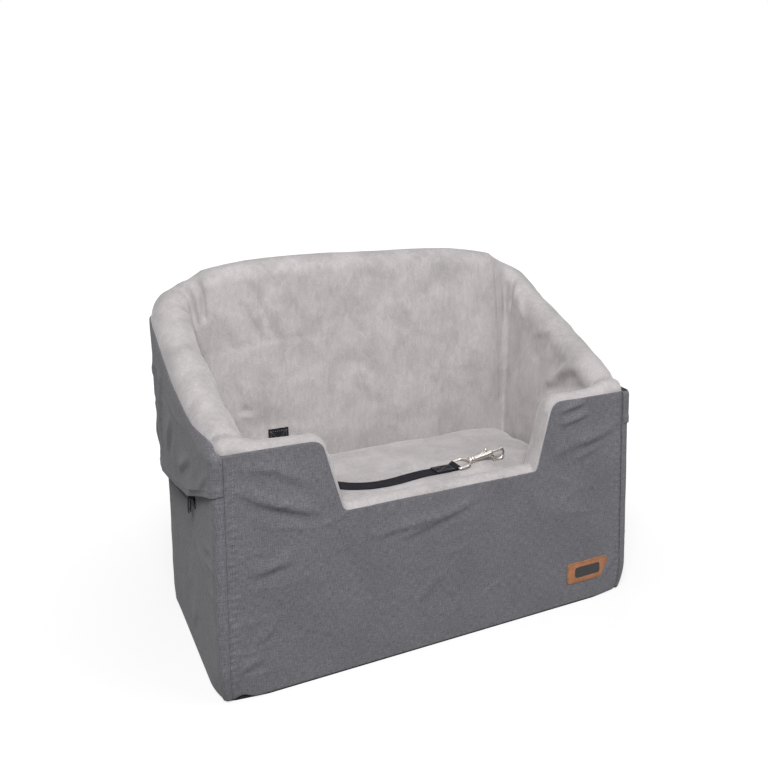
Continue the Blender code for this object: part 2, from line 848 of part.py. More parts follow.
cushion_half_width = half_width - wall_foot - cushion_clearance
cushion_front = front_wall_back + cushion_clearance
cushion_back = back_y - wall_foot - cushion_clearance
cushion_half_depth = (cushion_back - cushion_front) / 2
cushion_middle_y = (cushion_back + cushion_front) / 2


def cushion_fullness(u, v):
    """How full the cushion is, from 0 at its edge to 1 in the middle."""
    shape = (1 - abs(u) ** cushion_plan_power) * (1 - abs(v) ** cushion_plan_power)
    return max(shape, 0.0) ** cushion_crown_power


def cushion_plan(u, v):
    """A place on the cushion, whose sides are drawn in between its corners."""
    eased = cushion_corner_ease * abs(u * v) ** cushion_corner_power
    x = u * (cushion_half_width - cushion_draw_in * (1 - v * v) - eased)
    y = cushion_middle_y + v * (cushion_half_depth - cushion_draw_in * (1 - u * u) - eased)
    return x, y


def make_seat_cushion():
    """The crowned cushion, flat where it lies on the liner's floor."""
    bm = bmesh.new()
    base = liner_base
    faces = []
    us = [math.sin(math.pi / 2 * lerp(-1, 1, step / cushion_columns)) for step in range(cushion_columns + 1)]
    vs = [math.sin(math.pi / 2 * lerp(-1, 1, step / cushion_rows)) for step in range(cushion_rows + 1)]
    for side in ("top", "bottom"):
        grid = []
        for u in us:
            column = []
            for v in vs:
                x, y = cushion_plan(u, v)
                full = cushion_fullness(u, v)
                if side == "top":
                    z = base + lerp(cushion_seam_height, cushion_thickness, full)
                else:
                    z = base + cushion_seam_height * max(0.0, 1 - 2 * full)
                column.append(bm.verts.new((x, y, z)))
            grid.append(column)
        for i in range(cushion_columns):
            for j in range(cushion_rows):
                faces.append(bm.faces.new((grid[i][j], grid[i + 1][j], grid[i + 1][j + 1], grid[i][j + 1])))
    bmesh.ops.remove_doubles(bm, verts=bm.verts, dist=gap / 10)
    finish("seat_cushion", bm, fleece, liner_frame, smooth=True)


zip_start_y = hem_knee_y
zip_end_y = side_end - zip_end_clearance
zip_slope = (hem_back - hem_knee) / (back_y - hem_knee_y)
zip_direction = Vector((0, 1, zip_slope)).normalized()


def chain_height(y):
    """Height of the zip's centre line."""
    return hem_knee + zip_slope * (y - hem_knee_y) - zip_drop


def make_zip_tapes():
    """Both halves of each side zip: a bead along the centre line and a tape to the cloth that it is sewn to."""
    half_gap = zip_running_gap / 2
    half_tape = zip_tape_thickness / 2
    half_bead = zip_bead_width / 2
    bead_end = half_gap + zip_bead_height

    def ring(st, upward):
        chain = chain_height(st.y)
        way = 1 if upward else -1
        if upward:
            far = upper_offset(st, chain + zip_tape_end) - canvas_thickness - gap - half_tape
            near = upper_offset(st, chain + zip_tape_rise) - canvas_thickness - gap - half_tape
        else:
            far = near = gap + half_tape
        outline = [(zip_standoff + half_bead, half_gap), (zip_standoff + half_bead, bead_end),
                   (zip_standoff + half_tape, bead_end), (zip_standoff + half_tape, zip_tape_flat),
                   (near + half_tape, zip_tape_rise), (far + half_tape, zip_tape_end),
                   (far - half_tape, zip_tape_end), (near - half_tape, zip_tape_rise),
                   (zip_standoff - half_tape, zip_tape_flat), (zip_standoff - half_tape, bead_end),
                   (zip_standoff - half_bead, bead_end), (zip_standoff - half_bead, half_gap)]
        return [st.point(offset, chain + way * rise) for offset, rise in outline]

    path = side_stations(zip_start_y, zip_end_y, zip_columns - 1)

    def make(side, place):
        for part, upward in (("upper", True), ("lower", False)):
            rings = [ring(place(st), upward) for st in path]
            loft(side + "_zip_" + part + "_tape", rings, zip_tape, seat_frame)

    left_and_right(make)


def make_zip_runners():
    """The slider and the pull of each side zip, with a crown that holds the pull."""
    start_y = zip_start_y + slider_start
    half_length = slider_length / 2
    channel = zip_bead_width / 2 + slider_clearance
    plate = channel + slider_plate_thickness
    lip_inner = channel - slider_lip_depth
    post = slider_post_width / 2
    tall, lip = slider_half_height, slider_half_height - slider_lip_height
    profile = [(plate, tall), (lip_inner, tall), (lip_inner, lip), (channel, lip), (channel, post),
               (-channel, post), (-channel, lip), (-lip_inner, lip), (-lip_inner, tall), (-plate, tall),
               (-plate, -tall), (-lip_inner, -tall), (-lip_inner, -lip), (-channel, -lip), (-channel, -post),
               (channel, -post), (channel, -lip), (lip_inner, -lip), (lip_inner, -tall), (plate, -tall)]
    sunk = plate - slider_plate_thickness / 2
    crown_out = plate + crown_reach + crown_bar
    crown = [(sunk, crown_top), (crown_out, crown_top), (crown_out, -crown_bottom), (sunk, -crown_bottom),
             (sunk, crown_bar - crown_bottom), (plate + crown_reach, crown_bar - crown_bottom),
             (plate + crown_reach, crown_top - crown_bar), (sunk, crown_top - crown_bar)]
    bar_z = (crown_top - crown_bottom) / 2
    bar_x = plate + crown_reach / 2

    def make(side, place):
        out = place(Station(-half_width, start_y, -1, 0)).normal.x
        origin = Vector((out * (half_width + zip_standoff), start_y, chain_height(start_y)))
        slider_frame = make_empty(side + "_slider_frame", seat_frame, origin)
        front_end = [Vector((out * x, 0, z)) - zip_direction * half_length for x, z in profile]
        body = slab(side + "_zip_slider", front_end, zip_direction * slider_length, black_metal, slider_frame)
        arch = slab(side + "_crown_guide", [Vector((out * x, -crown_width / 2, z)) for x, z in crown],
                    Vector((0, crown_width, 0)), black_metal, slider_frame)
        combine(body, arch, "UNION")
        pull_frame = make_empty(side + "_pull_frame", slider_frame, (out * bar_x, 0, bar_z))
        half = pull_width / 2
        top, low = pull_bar_height / 2, pull_bar_height / 2 - pull_length
        outline = [(-half, top), (half, top), (half, low + pull_corner), (half - pull_corner, low),
                   (pull_corner - half, low), (-half, low + pull_corner)]
        tab = slab(side + "_zip_pull", [Vector((-out * pull_thickness / 2, y, z)) for y, z in outline],
                   Vector((out * pull_thickness, 0, 0)), webbing, pull_frame)
        window_top = -pull_bar_height / 2
        window = [(-pull_window_width / 2, window_top), (pull_window_width / 2, window_top),
                  (pull_window_width / 2, window_top - pull_window_height),
                  (-pull_window_width / 2, window_top - pull_window_height)]
        hole = slab(side + "_pull_window", [Vector((-out * pull_thickness, y, z)) for y, z in window],
                    Vector((2 * out * pull_thickness, 0, 0)), webbing, pull_frame)
        combine(tab, hole, "DIFFERENCE")

    left_and_right(make)


def rounded_rectangle(width, height, corner, steps=4):
    """Points round a rectangle with round corners, about its middle."""
    points = []
    for quarter, (sx, sz) in enumerate(((1, 1), (-1, 1), (-1, -1), (1, -1))):
        for step in range(steps + 1):
            angle = math.pi / 2 * (quarter + step / steps)
            points.append((sx * (width / 2 - corner) + corner * math.cos(angle),
                           sz * (height / 2 - corner) + corner * math.sin(angle)))
    return points


def make_label_patch():
    """The plain patch low on the front."""
    outline = [Vector((patch_from_middle + x, front_y - gap, patch_over_floor + z))
               for x, z in rounded_rectangle(patch_width, patch_height, patch_corner)]
    slab("label_patch", outline, Vector((0, -patch_thickness, 0)), patch_leather, seat_frame)


def make_belt_loops():
    """Two upright webbing loops on the back for the car's belt."""
    low, high = belt_loop_bottom, belt_loop_bottom + belt_loop_height
    tab, rise = belt_loop_tab, belt_loop_rise
    heights = [(low, gap), (low + tab, gap), (low + tab + rise, rise),
               (high - tab - rise, rise), (high - tab, gap), (high, gap)]
    for side, middle in (("left", -belt_loop_spacing / 2), ("right", belt_loop_spacing / 2)):
        rings = []
        for x in (middle - belt_loop_width / 2, middle + belt_loop_width / 2):
            st = Station(x, back_y, 0, 1, 1.0)
            inner = [st.point(lower_offset(st, z) + away, z) for z, away in heights]
            outer = [st.point(lower_offset(st, z) + away + webbing_thickness, z)
                     for z, away in reversed(heights)]
            rings.append(inner + outer)
        loft(side + "_belt_loop", rings, webbing, seat_frame)


def smooth_route(points, steps):
    """A Catmull-Rom curve through the points."""
    padded = [2 * points[0] - points[1]] + points + [2 * points[-1] - points[-2]]
    curve = []
    for a, b, c, d in zip(padded, padded[1:], padded[2:], padded[3:]):
        for step in range(steps):
            t = step / steps
            curve.append(0.5 * (2 * b + (c - a) * t + (2 * a - 5 * b + 4 * c - d) * t ** 2
                                + (3 * b - a - 3 * c + d) * t ** 3))
    return curve + [points[-1]]


def make_tether():
    """The flat strap from the back wall across the cushion, and the patch that it leaves."""
    curve = smooth_route([Vector(point) for point in tether_route], tether_steps)
    rings = []
    for index, point in enumerate(curve):
        along = (curve[min(index + 1, len(curve) - 1)] - curve[max(index - 1, 0)]).normalized()
        across = along.cross(Vector((0, 0, 1))).normalized() * (tether_width / 2)
        up = across.cross(along).normalized() * (webbing_thickness / 2)
        rings.append([point + across + up, point - across + up, point - across - up, point + across - up])
    loft("tether_webbing", rings, webbing, liner_frame)
    anchor_x = tether_route[0][0]
    rings = []
    for x in (anchor_x - anchor_width / 2, anchor_x + anchor_width / 2):
        st = Station(x, back_y, 0, 1, 1.0)
        low = liner_base + anchor_over_seat
        heights = (low, low + anchor_height)
        near = [st.point(wall_inner_offset(st, z) - gap, z) for z in heights]
        far = [st.point(wall_inner_offset(st, z) - gap - anchor_thickness, z) for z in reversed(heights)]
        rings.append(near + far)
    loft("tether_anchor_patch", rings, webbing, liner_frame)


loop_reach = eye_rod_radius + running_clearance
bar_position = Vector(tether_route[-1]) + Vector((end_loop_length, 0, loop_reach + webbing_thickness / 2))
hook_ring_x = eye_length + eye_collar_length + barrel_length + hook_ring_radius
belly = hook_ring_drop + hook_ring_radius + hook_rod_radius
hook_tilt = math.asin((belly - loop_reach - webbing_thickness - hook_seat_drop) / hook_ring_x)


def make_end_loop():
    """The strap's end, folded round the eye's bar and sewn down on itself."""
    outer = loop_reach + webbing_thickness
    low = Vector(tether_route[-1]).z - webbing_thickness / 2 - bar_position.z
    start = Vector(tether_route[-1]).x + gap - bar_position.x
    ply_top = low + 2 * webbing_thickness
    pinch = -loop_reach * 3
    profile = [(start, low), (pinch, low)]
    steps = 2 * roll_arc_steps
    for step in range(steps + 1):
        angle = math.pi * (step / steps - 0.5)
        profile.append((outer * math.cos(angle), outer * math.sin(angle)))
    profile += [(pinch, ply_top), (start, ply_top)]
    frame = make_empty("end_loop_frame", liner_frame, bar_position)
    loop = slab("tether_end_loop", [Vector((x, -tether_width / 2, z)) for x, z in profile],
                Vector((0, tether_width, 0)), webbing, frame)
    bore = [(loop_reach * math.cos(math.tau * step / round_segments),
             loop_reach * math.sin(math.tau * step / round_segments)) for step in range(round_segments)]
    hole = slab("end_loop_bore", [Vector((x, -tether_width, z)) for x, z in bore],
                Vector((0, 2 * tether_width, 0)), webbing, frame)
    combine(loop, hole, "DIFFERENCE")


def make_swivel_eye(eye_frame):
    """The eye: a flat-sided ring with a collar and a headed stem that the hook turns on."""
    half = eye_inner_width / 2 + eye_rod_radius
    corner = eye_rod_radius * 2
    corners = [Vector((0, 0, 0)), Vector((0, half, 0)), Vector((eye_length - eye_shoulder, half, 0)),
               Vector((eye_length - eye_rod_radius, eye_collar_radius, 0)),
               Vector((eye_length - eye_rod_radius, 0, 0))]
    side = rounded(corners, [corner, corner * 2, corner], 3)[:-1]
    ring_points = side + [Vector((point.x, -point.y, 0)) for point in reversed(side)][:-1]
    sides = 10
    bm = bmesh.new()
    loops = []
    count = len(ring_points)
    for index, point in enumerate(ring_points):
        along = (ring_points[(index + 1) % count] - ring_points[index - 1]).normalized()
        up = Vector((0, 0, 1))
        across = up.cross(along)
        loops.append([bm.verts.new(point + eye_rod_radius * (math.cos(turn) * across + math.sin(turn) * up))
                      for turn in (math.tau * step / sides for step in range(sides))])
    for index in range(count):
        here, there = loops[index], loops[(index + 1) % count]
        for side_index in range(sides):
            after = (side_index + 1) % sides
            bm.faces.new((here[side_index], here[after], there[after], there[side_index]))
    eye = finish("swivel_eye", bm, nickel, eye_frame, smooth=True)
    collar_start = eye_length - eye_rod_radius
    collar_end = eye_length + eye_collar_length - running_clearance
    stem_end = collar_end + running_clearance + stem_reach
    profile = [(collar_start, 0), (collar_start, eye_collar_radius - stem_radius),
               (collar_start + stem_radius, eye_collar_radius), (collar_end, eye_collar_radius),
               (collar_end, stem_radius), (stem_end - stem_head_length, stem_radius),
               (stem_end - stem_head_length, stem_head_radius), (stem_end, stem_head_radius), (stem_end, 0)]
    combine(eye, turned("eye_stem_guide", profile, nickel, eye_frame), "UNION")


def make_hook_body(hook_frame):
    """The barrel with its bores and slot, and the hook that curves round from its end. The frame's origin
    is the barrel's foot."""
    head_back = stem_reach - stem_head_length - running_clearance
    bolt_bore = bolt_radius + running_clearance
    foot_bore = stem_radius + running_clearance
    socket = stem_head_radius + running_clearance
    spring_seat = socket_depth + barrel_wall
    profile = [(socket_depth, 0), (socket_depth, socket), (head_back, socket), (head_back, foot_bore),
               (0, foot_bore), (0, barrel_foot_radius), (barrel_wall, barrel_foot_radius),
               (2 * barrel_wall, barrel_radius), (barrel_length - barrel_wall, barrel_radius),
               (barrel_length, barrel_radius - running_clearance), (barrel_length, bolt_bore),
               (spring_seat, bolt_bore), (spring_seat, 0)]
    body = turned("hook_body", profile, nickel, hook_frame)
    root = bolt_bore + hook_rod_radius + running_clearance
    centre = Vector((barrel_length + hook_ring_radius, 0, -hook_ring_drop))
    tip_angle = math.asin(hook_ring_drop / hook_ring_radius)
    points = [Vector((barrel_length - 2 * hook_root_inset, 0, -root)),
              Vector((barrel_length - hook_root_inset, 0, -root))]
    for step in range(hook_arc_steps + 1):
        angle = lerp(math.pi, tip_angle + math.tau, step / hook_arc_steps)
        points.append(centre + hook_ring_radius * Vector((math.cos(angle), 0, math.sin(angle))))
    tip = barrel_length + bolt_reach + running_clearance
    points.append(Vector((tip, 0, 0)))
    arm = rod("hook_arm_guide", points, hook_rod_radius, nickel, hook_frame, closed_plane=(0, 1, 0))
    combine(body, arm, "UNION")
    knob_x = barrel_length - knob_from_barrel_end
    slot_half = knob_stem_radius + running_clearance
    start, end = knob_x - bolt_travel - slot_half, knob_x + slot_half
    outline = [Vector((start, -slot_half, 0)), Vector((end, -slot_half, 0)),
               Vector((end, slot_half, 0)), Vector((start, slot_half, 0))]
    combine(body, slab("knob_slot_guide", outline, Vector((0, 0, 2 * barrel_radius)), nickel, hook_frame),
            "DIFFERENCE")


def make_hook_bolt(bolt_frame):
    """The spring bolt with the knob that a thumb draws back."""
    end = barrel_length + bolt_reach
    nose = bolt_radius / 2
    profile = [(bolt_rear, 0), (bolt_rear, bolt_radius), (end - nose, bolt_radius), (end, nose), (end, 0)]
    bolt = turned("hook_bolt", profile, nickel, bolt_frame)
    knob_x = barrel_length - knob_from_barrel_end
    ball = knob_reach - knob_radius
    stem = [(0, 0), (0, knob_stem_radius), (ball - knob_radius * 0.8, knob_stem_radius)]
    stem += [(ball - knob_radius * math.cos(angle), knob_radius * math.sin(angle))
             for angle in (math.pi * step / 6 for step in range(2, 6))]
    stem += [(knob_reach, 0)]
    knob = turned("thumb_knob_guide", stem, nickel, bolt_frame)
    knob.location = (knob_x, 0, 0)
    knob.rotation_euler = (0, -math.pi / 2, 0)
    combine(bolt, knob, "UNION")


def make_bolt_spring(hook_frame):
    """The spring behind the bolt, a round wire wound along the axis."""
    start = socket_depth + barrel_wall + gap + spring_wire_radius
    end = bolt_rear - gap - spring_wire_radius
    radius = bolt_radius - spring_wire_radius
    count = spring_turns * spring_steps_per_turn
    curve = bpy.data.curves.new("bolt_spring", "CURVE")
    curve.dimensions = "3D"
    curve.bevel_depth = spring_wire_radius
    curve.bevel_resolution = 0
    curve.use_fill_caps = True
    spline = curve.splines.new("POLY")
    spline.points.add(count)
    for index, knot in enumerate(spline.points):
        angle = math.tau * index / spring_steps_per_turn
        knot.co = (lerp(start, end, index / count), radius * math.cos(angle), radius * math.sin(angle), 1.0)
    curve.materials.append(spring_steel)
    made = bpy.data.objects.new("bolt_spring", curve)
    made.parent = hook_frame
    bpy.context.scene.collection.objects.link(made)


def make_snap_hook():
    """The eye, hook and bolt, leaning up from the strap's end so that the hook rests on its ring."""
    eye_frame = make_empty("eye_frame", liner_frame, bar_position, (0, -hook_tilt, 0))
    make_swivel_eye(eye_frame)
    hook_frame = make_empty("hook_frame", eye_frame, (eye_length + eye_collar_length, 0, 0))
    make_hook_body(hook_frame)
    make_bolt_spring(hook_frame)
    make_hook_bolt(make_empty("bolt_frame", hook_frame))


make_front_cover()
make_lower_covers()
make_upper_covers()
make_back_cover()
make_bottom_cover()
make_wall_boards()
make_floor_and_deck()
make_ribs()
make_padded_walls()
make_front_wall()
make_liner_floor()
make_seat_cushion()
make_zip_tapes()
make_zip_runners()
make_label_patch()
make_belt_loops()
make_tether()
make_end_loop()
make_snap_hook()
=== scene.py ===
"""Looks of a booster seat: canvas covers, a padded fleece bucket, zips, a strap, its snap hook and the stage.

Lengths are in metres, +Z is up and the entry notch faces -Y. The covers and walls are swept along one plan
outline, as the solids in the frame are: a Station is a place on it, and each cloth is an offset from it.
"""
import json
import math

import bmesh
import bpy
import numpy as np
from bpy.props import FloatProperty, FloatVectorProperty, PointerProperty
from mathutils import Matrix, Vector, noise


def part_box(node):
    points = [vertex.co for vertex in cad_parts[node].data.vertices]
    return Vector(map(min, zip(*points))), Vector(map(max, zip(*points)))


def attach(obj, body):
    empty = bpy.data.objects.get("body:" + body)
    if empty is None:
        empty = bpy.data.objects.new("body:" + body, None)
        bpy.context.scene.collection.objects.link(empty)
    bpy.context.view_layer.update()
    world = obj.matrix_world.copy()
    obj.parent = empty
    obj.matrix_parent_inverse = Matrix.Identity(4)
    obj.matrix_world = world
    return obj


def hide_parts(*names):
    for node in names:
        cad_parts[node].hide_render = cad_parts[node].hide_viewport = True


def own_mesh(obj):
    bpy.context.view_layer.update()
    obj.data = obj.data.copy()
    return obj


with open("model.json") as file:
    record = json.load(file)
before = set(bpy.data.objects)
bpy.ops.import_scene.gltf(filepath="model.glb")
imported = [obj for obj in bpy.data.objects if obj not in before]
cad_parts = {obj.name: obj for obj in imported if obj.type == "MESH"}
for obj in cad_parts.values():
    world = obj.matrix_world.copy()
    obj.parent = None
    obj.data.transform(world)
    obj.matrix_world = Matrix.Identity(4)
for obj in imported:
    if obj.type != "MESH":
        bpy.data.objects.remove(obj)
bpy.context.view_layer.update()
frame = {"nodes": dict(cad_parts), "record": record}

bl_info = {
    "name": "Booster seat finish",
    "version": (1, 0, 0),
    "blender": (4, 5, 0),
    "location": "View3D > Sidebar > Seat",
    "description": "Cloth, padding, zips, strap, snap hook and stage of a booster seat",
    "category": "Object",
}

mm = 0.001
nodes = frame["nodes"]
record = frame["record"]
joints = {joint["name"]: joint for joint in record["behaviour"]["joints"]}

# Sizes of the base and bucket, the same as the solids'
gap = 0.3 * mm
canvas_thickness = 1.5 * mm
board_thickness = 3 * mm
webbing_thickness = 1.5 * mm
front_width = 626 * mm
base_depth = 338 * mm
front_height = 320 * mm
front_corner_radius = 20 * mm
back_corner_radius = 65 * mm
front_cloth_radius = 8 * mm
back_cloth_radius = 32 * mm
cover_lift = 3 * mm
bottom_taper = 4 * mm
taper_height = 190 * mm
corner_tuck = 13 * mm
tuck_reach = 60 * mm
tuck_height = 50 * mm
notch_floor = 221 * mm
notch_floor_width = 296 * mm
notch_top_width = 352 * mm
notch_floor_radius = 9 * mm
notch_top_radius = 18 * mm
hem_front = 264 * mm
hem_knee = 240 * mm
hem_back = 212 * mm
hem_knee_share = 0.31
hem_drawn_up = 8 * mm
hem_standoff = 12 * mm
hem_cover_lap = 12 * mm
rim_corner = 440 * mm
rim_middle = 452 * mm
rim_rise_power = 2.3
rim_flare = 16 * mm
back_lean = 16 * mm
roll_front = 326 * mm
roll_corner = 470 * mm
roll_middle = 517 * mm
roll_corner_drop = 40 * mm
arch_power = 4
roll_lap = 6 * mm
wall_thickness = 54 * mm
front_wall_thickness = 28 * mm
front_lip_rise = 5 * mm
pad_start_over_hem = 15 * mm
pad_swell_height = 30 * mm
front_pad_step = 12 * mm
board_over_deck = 10 * mm
deck_height = 170 * mm
liner_floor_thickness = 1.5 * mm
cushion_thickness = 42 * mm
cushion_seam_height = 16 * mm
cushion_draw_in = 9 * mm
cushion_clearance = 0.6 * mm
cushion_corner_ease = 4 * mm
cushion_corner_power = 6
cushion_plan_power = 4
cushion_crown_power = 0.5
zip_drop = 1.5 * mm
zip_standoff = 3 * mm
zip_bead_height = 1.6 * mm
zip_running_gap = 1.6 * mm
zip_end_clearance = 2 * mm
patch_width = 73 * mm
patch_height = 32 * mm
patch_thickness = 1.2 * mm
patch_from_middle = 239.5 * mm
patch_over_floor = 49 * mm
patch_corner = 5 * mm
belt_loop_width = 38 * mm
belt_loop_spacing = 300 * mm
belt_loop_bottom = 78 * mm
belt_loop_height = 108 * mm
belt_loop_tab = 20 * mm
belt_loop_rise = 9 * mm
tether_width = 25 * mm
tether_route = [tuple(value * mm for value in place) for place in (
    (-150.0, 109.0, 216.5), (-150.0, 103.0, 211.0), (-150.0, 94.0, 208.8), (-150.0, 76.0, 210.6),
    (-150.0, 52.0, 212.9), (-149.0, 24.0, 213.8), (-145.0, -6.0, 214.1), (-136.0, -34.0, 214.3),
    (-121.0, -59.0, 214.4), (-100.0, -77.0, 214.3), (-74.0, -86.0, 213.9), (-45.0, -87.0, 213.9),
    (-18.0, -83.0, 214.2), (6.0, -80.0, 214.4), (24.0, -80.0, 214.4))]
anchor_width = 32 * mm
anchor_height = 36 * mm
anchor_thickness = 1.6 * mm
anchor_over_seat = 45 * mm
eye_rod_radius = 1.8 * mm
eye_inner_width = 28 * mm
eye_length = 25 * mm
eye_shoulder = 9 * mm
eye_collar_radius = 5 * mm
eye_collar_length = 3 * mm
stem_radius = 1.6 * mm
stem_head_radius = 2.7 * mm
stem_head_length = 1.5 * mm
stem_reach = 4.6 * mm
running_clearance = 0.3 * mm
barrel_radius = 4.6 * mm
barrel_foot_radius = 5.4 * mm
barrel_length = 36 * mm
barrel_wall = 2.6 * mm
socket_depth = 6.6 * mm
bolt_radius = 2.1 * mm
bolt_reach = 11 * mm
bolt_travel = 7.5 * mm
spring_wire_radius = 0.25 * mm
spring_turns = 6
spring_steps_per_turn = 24
bolt_rear = 20 * mm
knob_radius = 2.6 * mm
knob_reach = 9.8 * mm
knob_stem_radius = 1.1 * mm
knob_from_barrel_end = 10 * mm
hook_ring_radius = 9.5 * mm
hook_ring_drop = 5.5 * mm
hook_rod_radius = 2.1 * mm
hook_root_inset = 3.5 * mm

half_width = front_width / 2
front_y = -base_depth / 2
back_y = base_depth / 2
wall_stack = canvas_thickness + gap + board_thickness + gap
wall_foot = wall_thickness + wall_stack - canvas_thickness - gap
cover_lap = canvas_thickness + gap
front_pad_corner_radius = front_corner_radius - wall_stack
front_board_top = deck_height + board_over_deck
liner_base = deck_height + gap + liner_floor_thickness + gap
hem_knee_y = front_y + hem_knee_share * base_depth
side_start = front_y + front_corner_radius
side_end = back_y - back_corner_radius
back_half_span = half_width - back_corner_radius
front_wall_back = front_y + wall_stack + front_wall_thickness
corner_arc = math.pi / 2 * back_corner_radius

# The outline's own middle is not the middle of the seat's box, which is where the frame has its origin
to_frame = Vector((0, (cover_lap - back_lean) / 2, 0))

# How finely the cloth is laid out
cloth_pitch = 4 * mm
seam_reach = 44 * mm
arc_steps = 8


def lerp(start, end, share):
    return start + (end - start) * share


def spread(start, end, pitch):
    """Even places from start to end, no further apart than the pitch."""
    count = max(2, math.ceil(abs(end - start) / pitch) + 1)
    return [float(place) for place in np.linspace(start, end, count)]


class Station:
    """A place on the plan outline. turn is 0 on the front and sides, and 1 along the back."""

    def __init__(self, x, y, normal_x, normal_y, turn=0.0):
        self.x, self.y = x, y
        self.normal = Vector((normal_x, normal_y, 0))
        self.turn = turn
        self.depth_share = min(max((y - front_y) / base_depth, 0.0), 1.0)
        self.across_share = min(abs(x) / half_width, 1.0)

    def mirrored(self):
        return Station(-self.x, self.y, -self.normal.x, self.normal.y, self.turn)

    def point(self, offset, z):
        """The point at a height, moved outwards from the outline by the offset."""
        return Vector((self.x, self.y, z)) + self.normal * offset


def arc_stations(centre_x, centre_y, radius, start, end, count, turn_end=0.0):
    """Stations round a corner, from one angle to another in degrees."""
    made = []
    for step in range(count + 1):
        angle = math.radians(lerp(start, end, step / count))
        nx, ny = math.cos(angle), math.sin(angle)
        made.append(Station(centre_x + radius * nx, centre_y + radius * ny, nx, ny, turn_end * step / count))
    return made


def front_corner(start=270, end=180):
    """Stations round the left front corner, from the front to the side."""
    radius = front_corner_radius
    return arc_stations(radius - half_width, front_y + radius, radius, start, end, arc_steps)


def back_corner():
    """Stations round the left back corner, from the side to the back."""
    radius = back_corner_radius
    count = math.ceil(corner_arc / cloth_pitch)
    return arc_stations(radius - half_width, back_y - radius, radius, 180, 90, count, turn_end=1.0)


def left_side(start_y, end_y):
    return [Station(-half_width, y, -1, 0) for y in spread(start_y, end_y, cloth_pitch)]


def along_back(half_span):
    return [Station(x, back_y, 0, 1, 1.0) for x in spread(-half_span, half_span, cloth_pitch)]


def hem_height(st):
    """Height of the skirt's hem, with its knee at the zip's closed end."""
    share = st.depth_share
    if share < hem_knee_share:
        return lerp(hem_front + hem_drawn_up, hem_knee, share / hem_knee_share)
    return lerp(hem_knee, hem_back, (share - hem_knee_share) / (1 - hem_knee_share))


def arched(middle, drop, st):
    return middle - drop * st.across_share ** arch_power


def rim_height(st):
    """Height of the canvas's top edge."""
    side = lerp(front_height, rim_corner, st.depth_share ** rim_rise_power)
    return lerp(side, arched(rim_middle, rim_middle - rim_corner, st), st.turn)


def roll_height(st):
    """Height of the top of the padded roll."""
    side = lerp(roll_front, roll_corner, st.depth_share)
    return lerp(side, arched(roll_middle, roll_corner_drop, st), st.turn)


def tuck(st):
    """How far the cloth is drawn in at the floor, near a front corner."""
    from_corner = max(half_width - abs(st.x), st.y - front_y)
    return corner_tuck * max(0.0, 1 - from_corner / tuck_reach) ** 2


def corner_fill(st):
    """How far the cloth's tighter corner stands out of the outline's wide one."""
    near, far = sorted((abs(st.normal.x), abs(st.normal.y)))
    wide, tight = front_corner_radius, front_cloth_radius
    if st.turn > 0:
        wide, tight = back_corner_radius, back_cloth_radius
    shift = wide - tight
    if wide * near < shift * far:
        return wide / far - wide
    along = shift * (near + far)
    return along + math.sqrt(tight ** 2 - 2 * shift ** 2 + along ** 2) - wide


def lower_offset(st, z):
    """Where the base's cloth lies: tapered to the floor and tucked in."""
    taper = bottom_taper * st.depth_share * max(0.0, 1 - z / taper_height)
    return corner_fill(st) - taper - tuck(st) * max(0.0, 1 - z / tuck_height) ** 2


def upper_offset(st, z, lap=cover_lap):
    """Where the bucket's cloth lies: lapped over the base, standing off at the hem and flared at the rim."""
    low, high = hem_height(st), rim_height(st)
    rise = min(max((z - low) / (high - low), 0.0), 1.0)
    swell = 1 - (1 - st.depth_share) ** 3
    standoff = hem_standoff * swell * (1 - st.turn)
    lean = lerp(standoff, lerp(rim_flare * swell, back_lean, st.turn), rise)
    return corner_fill(st) + lap * (1 - st.turn) + lean


def back_offset(st, z):
    return lower_offset(st, z) if z < hem_back else upper_offset(st, z)


# The skirt's top edge, drawn up over the roll's shoulder: share of the depth and height in mm. On the right
# it has slipped back down over the front's share of the depth
drawn_up_rim = [(0, 319.5), (0.003, 320.5), (0.018, 326), (0.045, 330), (0.14, 337), (0.21, 342), (0.28, 350),
                (0.49, 377.5), (0.67, 403.5), (0.81, 424.5), (0.88, 436), (1, 447)]
right_rim_slip = 15 * mm
right_slip_share = 0.36


def shown_rim(st):
    """Height of the skirt's top edge, as it lies on the roll."""
    if st.turn == 1:
        return rim_height(st)
    slipped = right_rim_slip * max(0.0, 1 - st.depth_share / right_slip_share) if st.x > 0 else 0.0
    return max(rim_height(st), float(np.interp(st.depth_share, *zip(*drawn_up_rim))) * mm - slipped)


def skirt_offset(st, z):
    """Where a skirt lies: up to the rim like the bucket's cloth, and then on the roll's outer side."""
    top, crown = roll_height(st), roll_crown(st)
    over = (z - top + crown) / (crown + cover_lap)
    lap = cover_lap * (1 + front_share(st))
    if over <= 0:
        return upper_offset(st, z, lap)
    reach = (wall_thickness / 2 + cover_lap) * (1 - math.sqrt(max(0.0, 1 - min(over, 1.0) ** 2)))
    return upper_offset(st, z, lap) - reach


def front_share(st):
    """1 on the front, falling to 0 round the corner to the side."""
    return max(0.0, -st.normal.y)


def rounded(corners, radii, steps):
    """A polyline with each inner corner replaced by an arc of its own radius."""
    points = [corners[0]]
    for before, corner, after, radius in zip(corners, corners[1:], corners[2:], radii):
        back, ahead = (before - corner).normalized(), (after - corner).normalized()
        half = back.angle(ahead) / 2
        centre = corner + (back + ahead).normalized() * (radius / math.sin(half))
        start = corner + back * (radius / math.tan(half)) - centre
        end = corner + ahead * (radius / math.tan(half)) - centre
        sweep = start.angle(end)
        for step in range(steps + 1):
            share = step / steps
            mixed = start * math.sin((1 - share) * sweep) + end * math.sin(share * sweep)
            points.append(centre + mixed / math.sin(sweep))
    return points + [corners[-1]]


